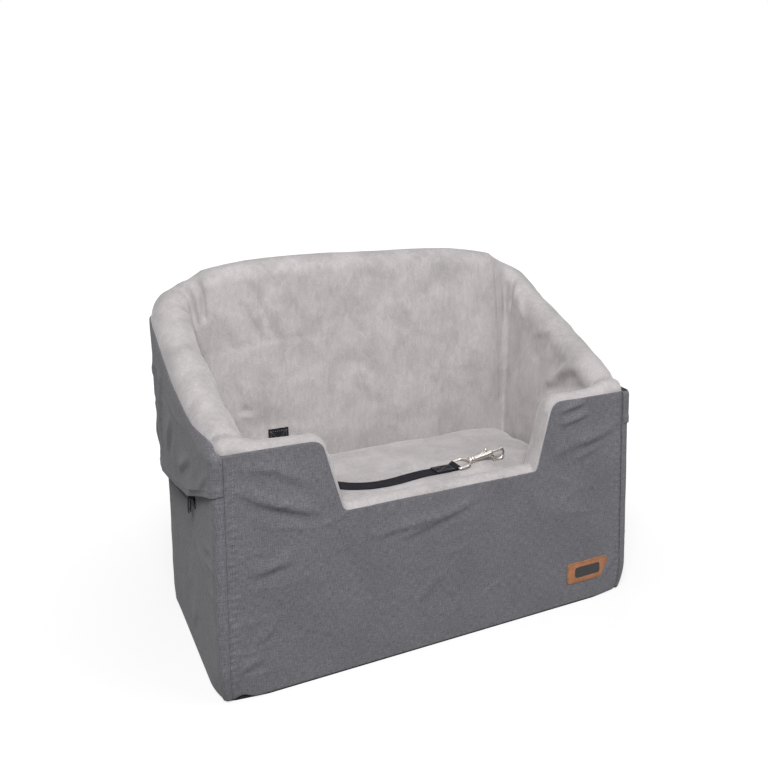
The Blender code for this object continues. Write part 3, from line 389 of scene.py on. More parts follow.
def front_outline(half_span, grow=0.0):
    """The front's top edge with its notch, as points with x and z, close enough for cloth."""
    lean = math.atan2((notch_top_width - notch_floor_width) / 2, front_height - notch_floor)
    top, floor = front_height + grow, notch_floor + grow
    half_floor = notch_floor_width / 2 + grow * math.tan(lean) - grow / math.cos(lean)
    half_top = half_floor + (top - floor) * math.tan(lean)
    corners = [Vector((-half_span, 0, top)), Vector((-half_top, 0, top)), Vector((-half_floor, 0, floor))]
    corners += [Vector((-point.x, 0, point.z)) for point in reversed(corners)]
    outside, inside = notch_top_radius + grow, notch_floor_radius - grow
    points = rounded(corners, [outside, inside, inside, outside], arc_steps)
    fine = []
    for here, there in zip(points, points[1:]):
        count = max(1, round((there - here).length / cloth_pitch))
        fine += [here.lerp(there, step / count) for step in range(count)]
    fine.append(points[-1])
    seamed = []
    for here, there in zip(fine, fine[1:]):
        seamed.append(here)
        if min(abs(here.x), abs(there.x)) > half_width - seam_reach:
            seamed.append(here.lerp(there, 0.5))
    return seamed + [fine[-1]]


def smooth_route(points, steps):
    """A Catmull-Rom curve through the points."""
    padded = [2 * points[0] - points[1]] + points + [2 * points[-1] - points[-2]]
    curve = []
    for a, b, c, d in zip(padded, padded[1:], padded[2:], padded[3:]):
        for step in range(steps):
            t = step / steps
            curve.append(0.5 * (2 * b + (c - a) * t + (2 * a - 5 * b + 4 * c - d) * t ** 2
                                + (3 * b - a - 3 * c + d) * t ** 3))
    return curve + [points[-1]]


# Cloth as grids: the first index runs along the outline, the second up the cloth

def unit_cross(along, up):
    normals = np.cross(along, up)
    return normals / np.maximum(np.linalg.norm(normals, axis=2, keepdims=True), 1e-12)


def grid_normals(grid, outward):
    """Unit normals of a grid, on the side that outward points to."""
    normals = unit_cross(np.gradient(grid, axis=0), np.gradient(grid, axis=1))
    return normals if (normals * outward).sum() > 0 else -normals


def tube_normals(grid):
    """Unit normals of a tube's closed rings, away from their middles."""
    up = np.roll(grid, -1, axis=1) - np.roll(grid, 1, axis=1)
    normals = unit_cross(np.gradient(grid, axis=0), up)
    away = grid - grid.mean(axis=1, keepdims=True)
    return normals if (away * normals).sum() > 0 else -normals


def fold_heights(s, t, folds, scale=1.0):
    """Heights of creases, steep on one side: each has its line in mm, its height and its width."""
    total = np.zeros_like(s)
    for line, height, width in folds:
        points = np.array(line) * mm
        steps = np.linalg.norm(np.diff(points, axis=0), axis=1)
        starts = np.concatenate([[0], np.cumsum(steps)])
        nearest = np.full(s.shape, np.inf)
        share, side = np.zeros_like(s), np.ones_like(s)
        for a, b, length, begun in zip(points, points[1:], steps, starts):
            way = (b - a) / length
            along = np.clip((s - a[0]) * way[0] + (t - a[1]) * way[1], 0, length)
            ds, dt = s - a[0] - along * way[0], t - a[1] - along * way[1]
            distance = np.hypot(ds, dt)
            closer = distance < nearest
            nearest = np.where(closer, distance, nearest)
            share = np.where(closer, (begun + along) / starts[-1], share)
            side = np.where(closer, np.sign(way[0] * dt - way[1] * ds), side)
        across = side * nearest / (width * mm)
        fade = np.clip(4 * share * (1 - share), 0, 1) ** 0.6
        ridge = np.exp(-np.where(across > 0, across, 1.8 * across) ** 2)
        valley = np.exp(-((across + 1.2) / 0.55) ** 2)
        total += scale * height * mm * fade * (ridge - 0.5 * valley)
    return total


def proud(heights, least=-0.3 * mm, ease=0.6 * mm):
    """Heights with a soft limit, so that the cloth isn't pressed into what lies behind it."""
    return least + ease * np.logaddexp(0, (heights - least) / ease)


def wander(grid, size, seed):
    """Smooth unevenness of about the given size, from -1 to 1."""
    start = Vector((seed * 7.3, seed * 3.1, seed * 5.7))
    flat = [noise.noise(Vector(point) / size + start) for point in grid.reshape(-1, 3)]
    return np.array(flat).reshape(grid.shape[:2])


class Cloth:
    """A panel laid out as a grid, with its arc length s and height t, that other pieces can be set on."""

    def __init__(self, stations, rows, place):
        self.stations = stations
        path = np.array([(st.x, st.y) for st in stations])
        steps = np.linalg.norm(np.diff(path, axis=0), axis=1)
        self.length = np.concatenate([[0], np.cumsum(steps)])
        heights = [rows(st) for st in stations]
        self.t = np.array(heights)
        self.s = np.repeat(self.length[:, None], self.t.shape[1], axis=1)
        self.x = np.repeat(path[:, :1], self.t.shape[1], axis=1)
        self.grid = np.array([[st.point(place(st, z), z) + to_frame for z in column]
                              for st, column in zip(stations, heights)])
        self.outward = np.array([st.normal for st in stations])[:, None, :]
        edges_s = np.linalg.norm(np.diff(self.grid, axis=0), axis=2)[:, :-1]
        edges_t = np.linalg.norm(np.diff(self.grid, axis=1), axis=2)[:-1]
        self.flat_area = float((edges_s * edges_t).sum())
        self.normals = grid_normals(self.grid, self.outward)

    def raise_by(self, heights):
        """Push the cloth out along its normals."""
        self.grid = self.grid + self.normals * heights[:, :, None]
        self.normals = grid_normals(self.grid, self.outward)

    def at(self, column, height, lift=0.0):
        """Place and normal on one column of the cloth at a height."""
        heights = self.t[column]
        point, normal = (Vector([np.interp(height, heights, values[column, :, k]) for k in range(3)])
                         for values in (self.grid, self.normals))
        normal.normalize()
        return point + normal * lift, normal

    def at_x(self, x, height, lift=0.0):
        """Place and normal at a distance from the middle and a height, on a panel that runs along X."""
        places = [st.x for st in self.stations]
        index = min(max(int(np.searchsorted(places, x)) - 1, 0), len(places) - 2)
        share = (x - places[index]) / max(places[index + 1] - places[index], 1e-9)
        (here, first), (there, second) = self.at(index, height, lift), self.at(index + 1, height, lift)
        return here.lerp(there, share), first.lerp(second, share).normalized()


def link(name, mesh, materials):
    for material in materials:
        mesh.materials.append(material)
    made = bpy.data.objects.new(name, mesh)
    bpy.context.scene.collection.objects.link(made)
    return made


def mesh_from(bm, name):
    """A mesh with what a bmesh holds, which is freed."""
    mesh = bpy.data.meshes.new(name)
    bm.to_mesh(mesh)
    bm.free()
    return mesh


def thickened(outline, depth):
    """A bmesh of a flat face, pushed out along a vector into a plate."""
    bm = bmesh.new()
    face = bm.faces.new([bm.verts.new(point) for point in outline])
    pushed = [item for item in bmesh.ops.extrude_face_region(bm, geom=[face])["geom"]
              if isinstance(item, bmesh.types.BMVert)]
    bmesh.ops.translate(bm, verts=pushed, vec=depth)
    bmesh.ops.recalc_face_normals(bm, faces=bm.faces)
    return bm


def mesh_piece(name, points, faces, materials, uv=None, kinds=None):
    """A smooth mesh from points and faces, with a UV map in metres and its faces turned outwards."""
    mesh = bpy.data.meshes.new(name)
    mesh.from_pydata([tuple(point) for point in points], [], faces)
    if uv is not None:
        corners = np.empty(len(mesh.loops), dtype=np.int32)
        mesh.loops.foreach_get("vertex_index", corners)
        layer = mesh.uv_layers.new(name="cloth")
        layer.data.foreach_set("uv", np.asarray(uv, dtype=np.float32)[corners].ravel())
    if kinds is not None:
        mesh.polygons.foreach_set("material_index", np.asarray(kinds, dtype=np.int32))
    bm = bmesh.new()
    bm.from_mesh(mesh)
    bmesh.ops.recalc_face_normals(bm, faces=bm.faces)
    bm.to_mesh(mesh)
    bm.free()
    mesh.shade_smooth()
    return link(name, mesh, materials)


def cloth_shell(name, cloth, thickness, material):
    """A panel of cloth with its thickness and round edges."""
    grid = cloth.grid
    count, rows = grid.shape[:2]
    inner = grid - cloth.normals * thickness
    index = np.arange(count * rows).reshape(count, rows)
    faces = [(index[i, j], index[i + 1, j], index[i + 1, j + 1], index[i, j + 1])
             for i in range(count - 1) for j in range(rows - 1)]
    under = count * rows
    faces += [tuple(under + corner for corner in reversed(face)) for face in faces]
    border = [(i, 0) for i in range(count)] + [(count - 1, j) for j in range(1, rows)]
    border += [(i, rows - 1) for i in range(count - 2, -1, -1)] + [(0, j) for j in range(rows - 2, 0, -1)]
    uv = np.stack([cloth.s, cloth.t], axis=2).reshape(-1, 2)
    points, uvs = list(grid.reshape(-1, 3)) + list(inner.reshape(-1, 3)), list(uv) + list(uv)
    rim = []
    for i, j in border:
        inside = (min(max(i, 1), count - 2), min(max(j, 1), rows - 2))
        away = grid[i, j] - grid[inside]
        away /= max(np.linalg.norm(away), 1e-9)
        rim.append(len(points))
        points.append((grid[i, j] + inner[i, j]) / 2 + away * thickness * 0.4)
        uvs.append(uv[index[i, j]])
    for step, (i, j) in enumerate(border):
        k, l = border[(step + 1) % len(border)]
        here, there, mid, after = index[i, j], index[k, l], rim[step], rim[(step + 1) % len(border)]
        faces += [(here, there, after, mid), (mid, after, under + there, under + here)]
    return mesh_piece(name, points, faces, [material], uvs)


def closed_tube(name, grid, materials, uv=None, kinds=None):
    """A solid from rings of points, capped at both ends."""
    count, sides = grid.shape[:2]
    index = np.arange(count * sides).reshape(count, sides)
    faces = []
    for i in range(count - 1):
        for j in range(sides):
            k = (j + 1) % sides
            faces.append((index[i, j], index[i, k], index[i + 1, k], index[i + 1, j]))
    if kinds is not None:
        kinds = [kinds[j] for i in range(count - 1) for j in range(sides)] + [0, 0]
    faces += [tuple(index[0]), tuple(reversed(index[-1]))]
    return mesh_piece(name, grid.reshape(-1, 3), faces, materials, uv, kinds)


def headings(points):
    """The way along a line at each of its points, from the point before to the point after."""
    last = len(points) - 1
    return [points[min(index + 1, last)] - points[max(index - 1, 0)] for index in range(len(points))]


def ribbon(name, points, ups, width, thickness, material):
    """A flat woven strip along points, with round edges. ups are its face's normals."""
    edge = [math.pi * (step / 4 - 0.5) for step in range(5)]
    section = [(width / 2 - thickness / 2 + thickness / 2 * math.cos(a), thickness / 2 * math.sin(a))
               for a in edge]
    flats = [width * share for share in (0.3, 0.1, -0.1, -0.3)]
    section += [(x, thickness / 2) for x in flats]
    section += [(-x, -z) for x, z in section]
    grid, uv, run = [], [], 0.0
    for index, (point, up, way) in enumerate(zip(points, ups, headings(points))):
        along = way.normalized()
        across = along.cross(up).normalized()
        face = across.cross(along).normalized()
        run += (point - points[index - 1]).length if index else 0.0
        grid.append([point + across * x + face * z for x, z in section])
        uv += [(x, run) for x, z in section]
    return closed_tube(name, np.array(grid), [material], uv)


def turned_mesh(profile, segments=40):
    """A bmesh of a solid of revolution about X, from (x, radius) points that start and end on the axis."""
    bm = bmesh.new()
    chain = [bm.verts.new((x, 0, radius)) for x, radius in profile]
    edges = [bm.edges.new(pair) for pair in zip(chain, chain[1:])]
    bmesh.ops.spin(bm, geom=chain + edges, cent=(0, 0, 0), axis=(1, 0, 0), angle=math.tau, steps=segments,
                   use_merge=True)
    bmesh.ops.remove_doubles(bm, verts=bm.verts, dist=gap / segments)
    bmesh.ops.recalc_face_normals(bm, faces=bm.faces)
    return bm


def rod_mesh(points, radius, plane, sides=20, closed=False):
    """A bmesh of a round rod along points. plane is a direction that no part of it runs along."""
    bm = bmesh.new()
    loops = []
    count = len(points)
    for index, point in enumerate(points):
        before = points[index - 1] if closed or index else point
        after = points[(index + 1) % count] if closed or index < count - 1 else point
        along = (after - before).normalized()
        across = plane.cross(along).normalized()
        loops.append([bm.verts.new(point + radius * (math.cos(turn) * across + math.sin(turn) * plane))
                      for turn in (math.tau * step / sides for step in range(sides))])
    for here, there in zip(loops, loops[1:] + loops[:1] if closed else loops[1:]):
        for k in range(sides):
            bm.faces.new((here[k], here[(k + 1) % sides], there[(k + 1) % sides], there[k]))
    if not closed:
        bm.faces.new(loops[0])
        bm.faces.new(loops[-1])
    bmesh.ops.recalc_face_normals(bm, faces=bm.faces)
    return bm


def settle_modifiers(piece):
    """Turn what the modifiers make into the piece's own mesh."""
    bpy.context.view_layer.update()
    mesh = bpy.data.meshes.new_from_object(piece.evaluated_get(bpy.context.evaluated_depsgraph_get()))
    piece.modifiers.clear()
    piece.data = mesh
    return piece


def cast(name, solids, cut, voxel, material, place):
    """One casting: the solids are run together with small fillets, less a cut, then put in place."""
    whole = bmesh.new()
    for bm in solids:
        part = mesh_from(bm, name + "_form")
        whole.from_mesh(part)
        bpy.data.meshes.remove(part)
    piece = link(name, mesh_from(whole, name), [material])
    fuse = piece.modifiers.new("fuse", "REMESH")
    fuse.mode = "VOXEL"
    fuse.voxel_size = voxel
    cutter = None
    if cut is not None:
        cutter = link(name + "_cut", mesh_from(cut, name + "_cut"), [])
        carve = piece.modifiers.new("carve", "BOOLEAN")
        carve.operation = "DIFFERENCE"
        carve.object = cutter
    ease = piece.modifiers.new("ease", "SMOOTH")
    ease.factor = 0.5
    ease.iterations = 4
    settle_modifiers(piece)
    if cutter is not None:
        bpy.data.objects.remove(cutter)
    piece.data.transform(place)
    piece.data.shade_smooth()
    return piece


# Node trees

def add(tree, kind, values=(), **settings):
    """Add a node, with its settings, and with its inputs set or linked."""
    made = tree.nodes.new(kind)
    for key, value in settings.items():
        setattr(made, key, value)
    for key, value in dict(values).items():
        if isinstance(value, bpy.types.NodeSocket):
            tree.links.new(value, made.inputs[key])
        else:
            made.inputs[key].default_value = value
    return made


def new_group(name, kind, inputs, outputs):
    """An empty node group with named sockets, and its input and output nodes."""
    tree = bpy.data.node_groups.new(name, kind)
    for label, socket, default in inputs:
        made = tree.interface.new_socket(label, in_out="INPUT", socket_type=socket)
        if default is not None:
            made.default_value = default
    for label, socket in outputs:
        tree.interface.new_socket(label, in_out="OUTPUT", socket_type=socket)
    return tree, tree.nodes.new("NodeGroupInput").outputs, tree.nodes.new("NodeGroupOutput").inputs


def maths(tree, operation, first, second=0.0, third=0.0):
    return add(tree, "ShaderNodeMath", {0: first, 1: second, 2: third}, operation=operation).outputs[0]


def grain(tree, place, scale, detail, **more):
    """The value of a noise texture at a place."""
    values = {"Vector": place, "Scale": scale, "Detail": detail, **more}
    return add(tree, "ShaderNodeTexNoise", values).outputs[0]


def stretched(tree, place, amounts):
    return add(tree, "ShaderNodeVectorMath", {0: place, 1: amounts}, operation="MULTIPLY").outputs[0]


def give(tree, result, **values):
    """Link values to a group's outputs, or to the inputs of a node."""
    for key, value in values.items():
        tree.links.new(value, result[key.replace("_", " ")])


def weave_group():
    """Plain weave: where threads stand proud, thick and thin yarns, and specks and shades of uneven dye."""
    tree, given, result = new_group(
        "plain weave", "ShaderNodeTree",
        [("Vector", "NodeSocketVector", None), ("Thread", "NodeSocketFloat", 0.8 * mm)],
        [("Height", "NodeSocketFloat"), ("Speck", "NodeSocketFloat"), ("Yarn", "NodeSocketFloat"),
         ("Shade", "NodeSocketFloat")])
    turns = maths(tree, "DIVIDE", math.pi, given["Thread"])
    scaled = add(tree, "ShaderNodeVectorMath", {0: given["Vector"], "Scale": turns}, operation="SCALE")
    axes = add(tree, "ShaderNodeSeparateXYZ", {0: scaled.outputs[0]}).outputs
    crossing = maths(tree, "MULTIPLY", maths(tree, "SINE", axes[0]), maths(tree, "SINE", axes[1]))
    slubs = [grain(tree, stretched(tree, given["Vector"], amounts), 1.0, 1.0)
             for amounts in ((110.0, 900.0, 1.0), (900.0, 110.0, 1.0))]
    give(tree, result, Height=maths(tree, "MULTIPLY_ADD", crossing, 0.5, 0.5),
         Yarn=maths(tree, "MULTIPLY_ADD", slubs[0], 0.5, maths(tree, "MULTIPLY", slubs[1], 0.5)),
         Speck=grain(tree, given["Vector"], 900.0, 2.0), Shade=grain(tree, given["Vector"], 14.0, 3.0))
    return tree


def nap_group():
    """Brushed pile: patches that lie one way or the other, streaks within them, and the tips of the pile."""
    tree, given, result = new_group(
        "brushed nap", "ShaderNodeTree",
        [("Vector", "NodeSocketVector", None), ("Patch Scale", "NodeSocketFloat", 22.0),
         ("Pile Scale", "NodeSocketFloat", 620.0)],
        [("Shade", "NodeSocketFloat"), ("Pile", "NodeSocketFloat"), ("Lie", "NodeSocketFloat")])
    streaks = stretched(tree, given["Vector"], (150.0, 150.0, 60.0))
    give(tree, result,
         Shade=grain(tree, given["Vector"], given["Patch Scale"], 3.0, Roughness=0.5, Distortion=0.5),
         Pile=grain(tree, given["Vector"], given["Pile Scale"], 3.0, Roughness=0.7),
         Lie=grain(tree, streaks, 1.0, 3.0, Distortion=0.8))
    return tree


def rib_group():
    """Webbing: ribs across the strap, each made of short floats, and a plain edge."""
    tree, given, result = new_group(
        "webbing ribs", "ShaderNodeTree",
        [("Vector", "NodeSocketVector", None), ("Rib", "NodeSocketFloat", 1.6 * mm)],
        [("Height", "NodeSocketFloat")])
    turns = maths(tree, "DIVIDE", math.tau, given["Rib"])
    axes = add(tree, "ShaderNodeSeparateXYZ", {0: given["Vector"]}).outputs
    across, along = maths(tree, "MULTIPLY", axes[0], turns), maths(tree, "MULTIPLY", axes[1], turns)
    zigzag = maths(tree, "MULTIPLY_ADD", maths(tree, "SINE", across), 1.3, along)
    fine = maths(tree, "SINE", maths(tree, "MULTIPLY", across, 2.0))
    height = maths(tree, "MULTIPLY_ADD", fine, 0.25, maths(tree, "SINE", zigzag))
    give(tree, result, Height=maths(tree, "MULTIPLY_ADD", height, 0.4, 0.5))
    return tree


def stitch_group():
    """Geometry nodes: one stitch at each pitch along the seams, laid flat on the cloth."""
    tree, given, result = new_group(
        "stitches along seams", "GeometryNodeTree",
        [("Seams", "NodeSocketGeometry", None), ("Pitch", "NodeSocketFloat", 4 * mm),
         ("Stitch", "NodeSocketVector", (3 * mm, 0.8 * mm, 0.5 * mm)),
         ("Thread", "NodeSocketMaterial", None)],
        [("Stitches", "NodeSocketGeometry")])
    curve = add(tree, "GeometryNodeMeshToCurve", {"Mesh": given["Seams"]})
    places = add(tree, "GeometryNodeResampleCurve", {"Curve": curve.outputs[0], "Length": given["Pitch"]},
                 mode="LENGTH")
    way = add(tree, "GeometryNodeInputTangent")
    up = add(tree, "GeometryNodeInputNamedAttribute", {"Name": "up"}, data_type="FLOAT_VECTOR")
    along = add(tree, "FunctionNodeAlignRotationToVector", {"Vector": way.outputs[0]}, axis="X")
    flat = add(tree, "FunctionNodeAlignRotationToVector",
               {"Rotation": along.outputs[0], "Vector": up.outputs[0]}, axis="Z", pivot_axis="X")
    bead = add(tree, "GeometryNodeMeshUVSphere", {"Segments": 8, "Rings": 5, "Radius": 0.5})
    laid = add(tree, "GeometryNodeInstanceOnPoints",
               {"Points": places.outputs[0], "Instance": bead.outputs[0], "Rotation": flat.outputs[0],
                "Scale": given["Stitch"]})
    real = add(tree, "GeometryNodeRealizeInstances", {0: laid.outputs[0]})
    dyed = add(tree, "GeometryNodeSetMaterial", {"Geometry": real.outputs[0], "Material": given["Thread"]})
    tree.links.new(dyed.outputs[0], result["Stitches"])
    return tree


groups = {}


def group(name):
    """A node group, built when it is first asked for."""
    builders = {"weave": weave_group, "nap": nap_group, "ribs": rib_group, "stitches": stitch_group}
    if name not in groups:
        groups[name] = builders[name]()
    return groups[name]


# Materials

def new_material(name, **inputs):
    """A Principled material with some inputs set, and its tree and shader."""
    material = bpy.data.materials.new(name)
    material.use_nodes = True
    tree = material.node_tree
    shader = tree.nodes["Principled BSDF"]
    for key, value in inputs.items():
        shader.inputs[key.replace("_", " ")].default_value = value
    return material, tree, shader


def toned(colour, amount, more=0.0):
    """A colour made darker or lighter."""
    return tuple(min(channel * amount + more, 1.0) for channel in colour)


def shaded(tree, factor, dark, light, low=0.0, high=1.0):
    """A colour between two, by a mask that is first spread from low and high to 0 and 1."""
    share = add(tree, "ShaderNodeMapRange", {"Value": factor, "From Min": low, "From Max": high}).outputs[0]
    mix = add(tree, "ShaderNodeMix", {"Factor": share}, data_type="RGBA")
    mix.inputs[6].default_value = (*dark, 1.0)
    mix.inputs[7].default_value = (*light, 1.0)
    return mix.outputs[2]


def tinted(tree, colour, factor, dark, light, low, high):
    """A colour made darker or lighter by a mask."""
    share = add(tree, "ShaderNodeMapRange", {"Value": factor, "From Min": low, "From Max": high,
                                             "To Min": dark, "To Max": light}).outputs[0]
    return add(tree, "ShaderNodeVectorMath", {0: colour, "Scale": share}, operation="SCALE").outputs[0]


def bumped(tree, shader, height, distance, strength=1.0, under=None):
    """A bump that feeds the shader, on top of another one if given."""
    values = {"Height": height, "Distance": distance, "Strength": strength}
    if under is not None:
        values["Normal"] = under
    bump = add(tree, "ShaderNodeBump", values)
    tree.links.new(bump.outputs[0], shader.inputs["Normal"])
    return bump.outputs[0]


def place_on_cloth(tree):
    return add(tree, "ShaderNodeTexCoord").outputs["UV"]


def place_in_seat(tree):
    return add(tree, "ShaderNodeTexCoord").outputs["Object"]


def canvas_material(name, colour, thread, coarse=1.0):
    """Woven cloth with uneven threads, faint wear, painted shade in the weave's hollows and painted
    highlights on its crossings, and a matt face.
    """
    material, tree, shader = new_material(name, Roughness=0.88, Specular_IOR_Level=0.25, Sheen_Weight=0.12,
                                          Sheen_Roughness=0.6)
    cloth = add(tree, "ShaderNodeGroup", node_tree=group("weave"))
    tree.links.new(place_on_cloth(tree), cloth.inputs["Vector"])
    cloth.inputs["Thread"].default_value = thread
    threads = shaded(tree, cloth.outputs["Speck"], toned(colour, 0.68), toned(colour, 1.36), 0.3, 0.7)
    yarns = tinted(tree, threads, cloth.outputs["Yarn"], 0.72, 1.3, 0.34, 0.66)
    worn = tinted(tree, yarns, cloth.outputs["Shade"], 1 - 0.08 * coarse, 1 + 0.07 * coarse, 0.3, 0.7)
    # Painted shade and highlight: the colour is darker in the weave's hollows and lighter where the threads
    # cross, following the weave's height
    woven = tinted(tree, worn, cloth.outputs["Height"], 0.9, 1.08, 0.0, 1.0)
    tree.links.new(woven, shader.inputs["Base Color"])
    first = bumped(tree, shader, cloth.outputs["Height"], 0.2 * mm, 0.6)
    second = bumped(tree, shader, cloth.outputs["Yarn"], 0.5 * mm, 0.4, first)
    bumped(tree, shader, cloth.outputs["Shade"], 2.5 * mm, 0.3, second)
    return material


def fleece_material(name, colour):
    """Short plush with a brushed nap, with painted highlights on the pile's raised tips and painted shade
    between them.
    """
    material, tree, shader = new_material(name, Roughness=1.0, Specular_IOR_Level=0.1, Sheen_Weight=0.45,
                                          Sheen_Roughness=0.5)
    nap = add(tree, "ShaderNodeGroup", node_tree=group("nap"))
    tree.links.new(place_in_seat(tree), nap.inputs["Vector"])
    brushed = shaded(tree, nap.outputs["Shade"], toned(colour, 0.9), toned(colour, 1.08), 0.36, 0.62)
    streaked = tinted(tree, brushed, nap.outputs["Lie"], 0.93, 1.06, 0.32, 0.68)
    # Painted highlight and shade: the colour is lighter on the pile's raised tips and darker between them,
    # following the pile's height
    pile_lit_and_shaded = tinted(tree, streaked, nap.outputs["Pile"], 0.86, 1.12, 0.3, 0.7)
    tree.links.new(pile_lit_and_shaded, shader.inputs["Base Color"])
    first = bumped(tree, shader, nap.outputs["Pile"], 0.9 * mm, 0.55)
    second = bumped(tree, shader, nap.outputs["Lie"], 1.6 * mm, 0.35, first)
    bumped(tree, shader, nap.outputs["Shade"], 2.5 * mm, 0.3, second)
    return material


def webbing_material(name, colour, rib=1.6 * mm):
    """Webbing or thread with ribs across, with painted highlights on the ribs' tops and painted shade between
    them.
    """
    material, tree, shader = new_material(name, Roughness=0.8, Specular_IOR_Level=0.2)
    ribs = add(tree, "ShaderNodeGroup", node_tree=group("ribs"))
    tree.links.new(place_on_cloth(tree), ribs.inputs["Vector"])
    ribs.inputs["Rib"].default_value = rib
    # Painted highlight and shade: the ribs' tops are painted lighter and the hollows between them darker,
    # following the ribs' height
    ribs_lit_and_shaded = shaded(tree, ribs.outputs["Height"], colour, toned(colour, 1.7, 0.002))
    tree.links.new(ribs_lit_and_shaded, shader.inputs["Base Color"])
    bumped(tree, shader, ribs.outputs["Height"], 0.35 * mm, 0.8)
    return material


def leather_material(name, colour):
    """Thin smooth patch material with pores and an uneven tone."""
    material, tree, shader = new_material(name, Roughness=0.5)
    pores = add(tree, "ShaderNodeTexVoronoi", {"Vector": place_in_seat(tree), "Scale": 1400.0})
    tone = grain(tree, place_in_seat(tree), 90.0, 4.0)
    tree.links.new(shaded(tree, tone, toned(colour, 0.75), toned(colour, 1.15), 0.3, 0.7),
                   shader.inputs["Base Color"])
    bumped(tree, shader, pores.outputs["Distance"], 0.12 * mm, 0.5)
    return material


def metal_material(name, colour, roughness, metallic=1.0, scuffs=0.1):
    """Plated or lacquered metal, with fine scuffs in its gloss."""
    material, tree, shader = new_material(name, Metallic=metallic, Base_Color=(*colour, 1.0))
    fine = grain(tree, place_in_seat(tree), 700.0, 5.0)
    gloss = add(tree, "ShaderNodeMapRange", {"Value": fine, "From Min": 0.35, "From Max": 0.7,
                                             "To Min": roughness, "To Max": roughness + scuffs})
    tree.links.new(gloss.outputs[0], shader.inputs["Roughness"])
    bumped(tree, shader, fine, 0.02 * mm, 0.3)
    return material


def board_material(name, colour):
    """Fibreboard, mottled with short fibres."""
    material, tree, shader = new_material(name, Roughness=0.85)
    fibres = grain(tree, place_in_seat(tree), 480.0, 6.0, Distortion=2.0)
    tree.links.new(shaded(tree, fibres, toned(colour, 0.7), toned(colour, 1.2), 0.3, 0.7),
                   shader.inputs["Base Color"])
    bumped(tree, shader, fibres, 0.3 * mm, 0.6)
    return material


stuffs = {}


def stuff(name):
    """A material of the seat, made when it is first asked for."""
    colours = bpy.context.scene.seat_colours
    makers = {
        "canvas": lambda: canvas_material("grey canvas", colours.canvas, 0.9 * mm),
        "lining": lambda: canvas_material("black lining", colours.trim, 0.7 * mm, 0.5),
        "fleece": lambda: fleece_material("plush fleece", colours.fleece),
        "webbing": lambda: webbing_material("black webbing", colours.webbing),
        "tape": lambda: webbing_material("zip tape", colours.trim, 0.9 * mm),
        "grey thread": lambda: webbing_material("pale grey thread", colours.grey_thread, 0.5 * mm),
        "black thread": lambda: webbing_material("black thread", colours.trim, 0.5 * mm),
        "patch": lambda: leather_material("copper patch", colours.patch),
        "patch panel": lambda: leather_material("dark patch panel", colours.patch_panel),
        "nickel": lambda: metal_material("nickel plate", colours.nickel, 0.16),
        "steel": lambda: metal_material("spring wire", colours.steel, 0.3),
        "black metal": lambda: metal_material("black lacquer", colours.trim, 0.35, 0.5, 0.15),
        "board": lambda: board_material("fibreboard", colours.board),
    }
    if name not in stuffs:
        stuffs[name] = makers[name]()
    return stuffs[name]


def dress(node, material):
    """Give a solid of the frame its finish."""
    slots = nodes[node].material_slots
    if not slots:
        nodes[node].data.materials.append(material)
    for slot in nodes[node].material_slots:
        slot.material = material


def settle(piece, body, slot, *replaced):
    """Set a finished piece on its body, in place of the solids that it stands for."""
    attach(piece, body)
    if replaced:
        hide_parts(*replaced)
    return piece


seams = {}


def sew(kind, line):
    """Keep a line of (place, normal) to be stitched later, under its body, thread and stitch size."""
    seams.setdefault(kind, []).append(line)


def sew_cloth(kind, cloth, places, lift=0.2 * mm):
    """A seam over a panel through (column, height) places."""
    sew(kind, [cloth.at(column, height, lift) for column, height in places])


# The covers

# Folds of the front panel: the places it runs through as x and z, its height and its width, all in mm
front_folds = [
    ([(-287, 275), (-256, 256), (-180, 225)], 2.6, 10), ([(-282, 300), (-235, 292), (-190, 262)], 1.4, 9),
    ([(-274, 163), (-216, 172)], 1.5, 9), ([(-260, 71), (-240, 96)], 1.6, 8),
    ([(-71, 168), (53, 199)], 1.5, 9), ([(-109, 177), (6, 191)], 1.1, 8), ([(-49, 64), (-9, 103)], 1.4, 9),
    ([(184, 304), (232, 314)], 2.4, 8), ([(186, 284), (240, 296)], 2.4, 9),
    ([(220, 247), (286, 262)], 1.8, 9),
    ([(217, 229), (275, 248)], 1.8, 8), ([(175, 241), (301, 275)], 1.5, 12),
    ([(130, 205), (175, 120)], 1.0, 14), ([(-150, 215), (-120, 130)], 0.9, 13),
    ([(-292, 40), (-255, 52)], 1.3, 8), ([(262, 24), (292, 60)], 1.3, 9)]
# Folds of a side's lower panel and of its skirt, with the distance from the corner seam in place of x
side_folds = [
    ([(30, 60), (80, 110)], 1.4, 10), ([(60, 150), (140, 175)], 1.5, 11), ([(180, 40), (215, 120)], 1.3, 11),
    ([(20, 200), (70, 185)], 1.3, 9), ([(130, 70), (170, 30)], 1.1, 10), ([(250, 100), (285, 165)], 1.2, 10)]
skirt_folds = [
    ([(15, 300), (50, 268), (95, 255)], 2.0, 9), ([(80, 300), (150, 262)], 1.8, 10),
    ([(170, 330), (215, 270)], 2.0, 11), ([(225, 380), (255, 300), (262, 250)], 2.4, 11),
    ([(285, 400), (280, 330)], 1.8, 10), ([(300, 290), (320, 240)], 1.6, 9)]
# Folds of the back panel, with x as in the front's
back_folds = [
    ([(-200, 430), (-120, 380)], 1.8, 13), ([(40, 420), (130, 440)], 1.5, 12),
    ([(-90, 260), (30, 290)], 1.6, 14), ([(120, 300), (200, 250)], 1.7, 12),
    ([(-60, 150), (20, 90)], 1.3, 12), ([(-220, 60), (-180, 120)], 1.3, 11)]

front_seam_angle = 240
side_seam_angle = 251
seam_inset_top = 25 * mm
seam_inset_bottom = 17 * mm
pucker_pitch = 9 * mm
hem_stitch_rise = 9 * mm
rows_per_height = 2.7 * mm
gape_place = -284 * mm


def even_rows(low, high, count):
    return [lerp(low, high, step / count) for step in range(count + 1)]


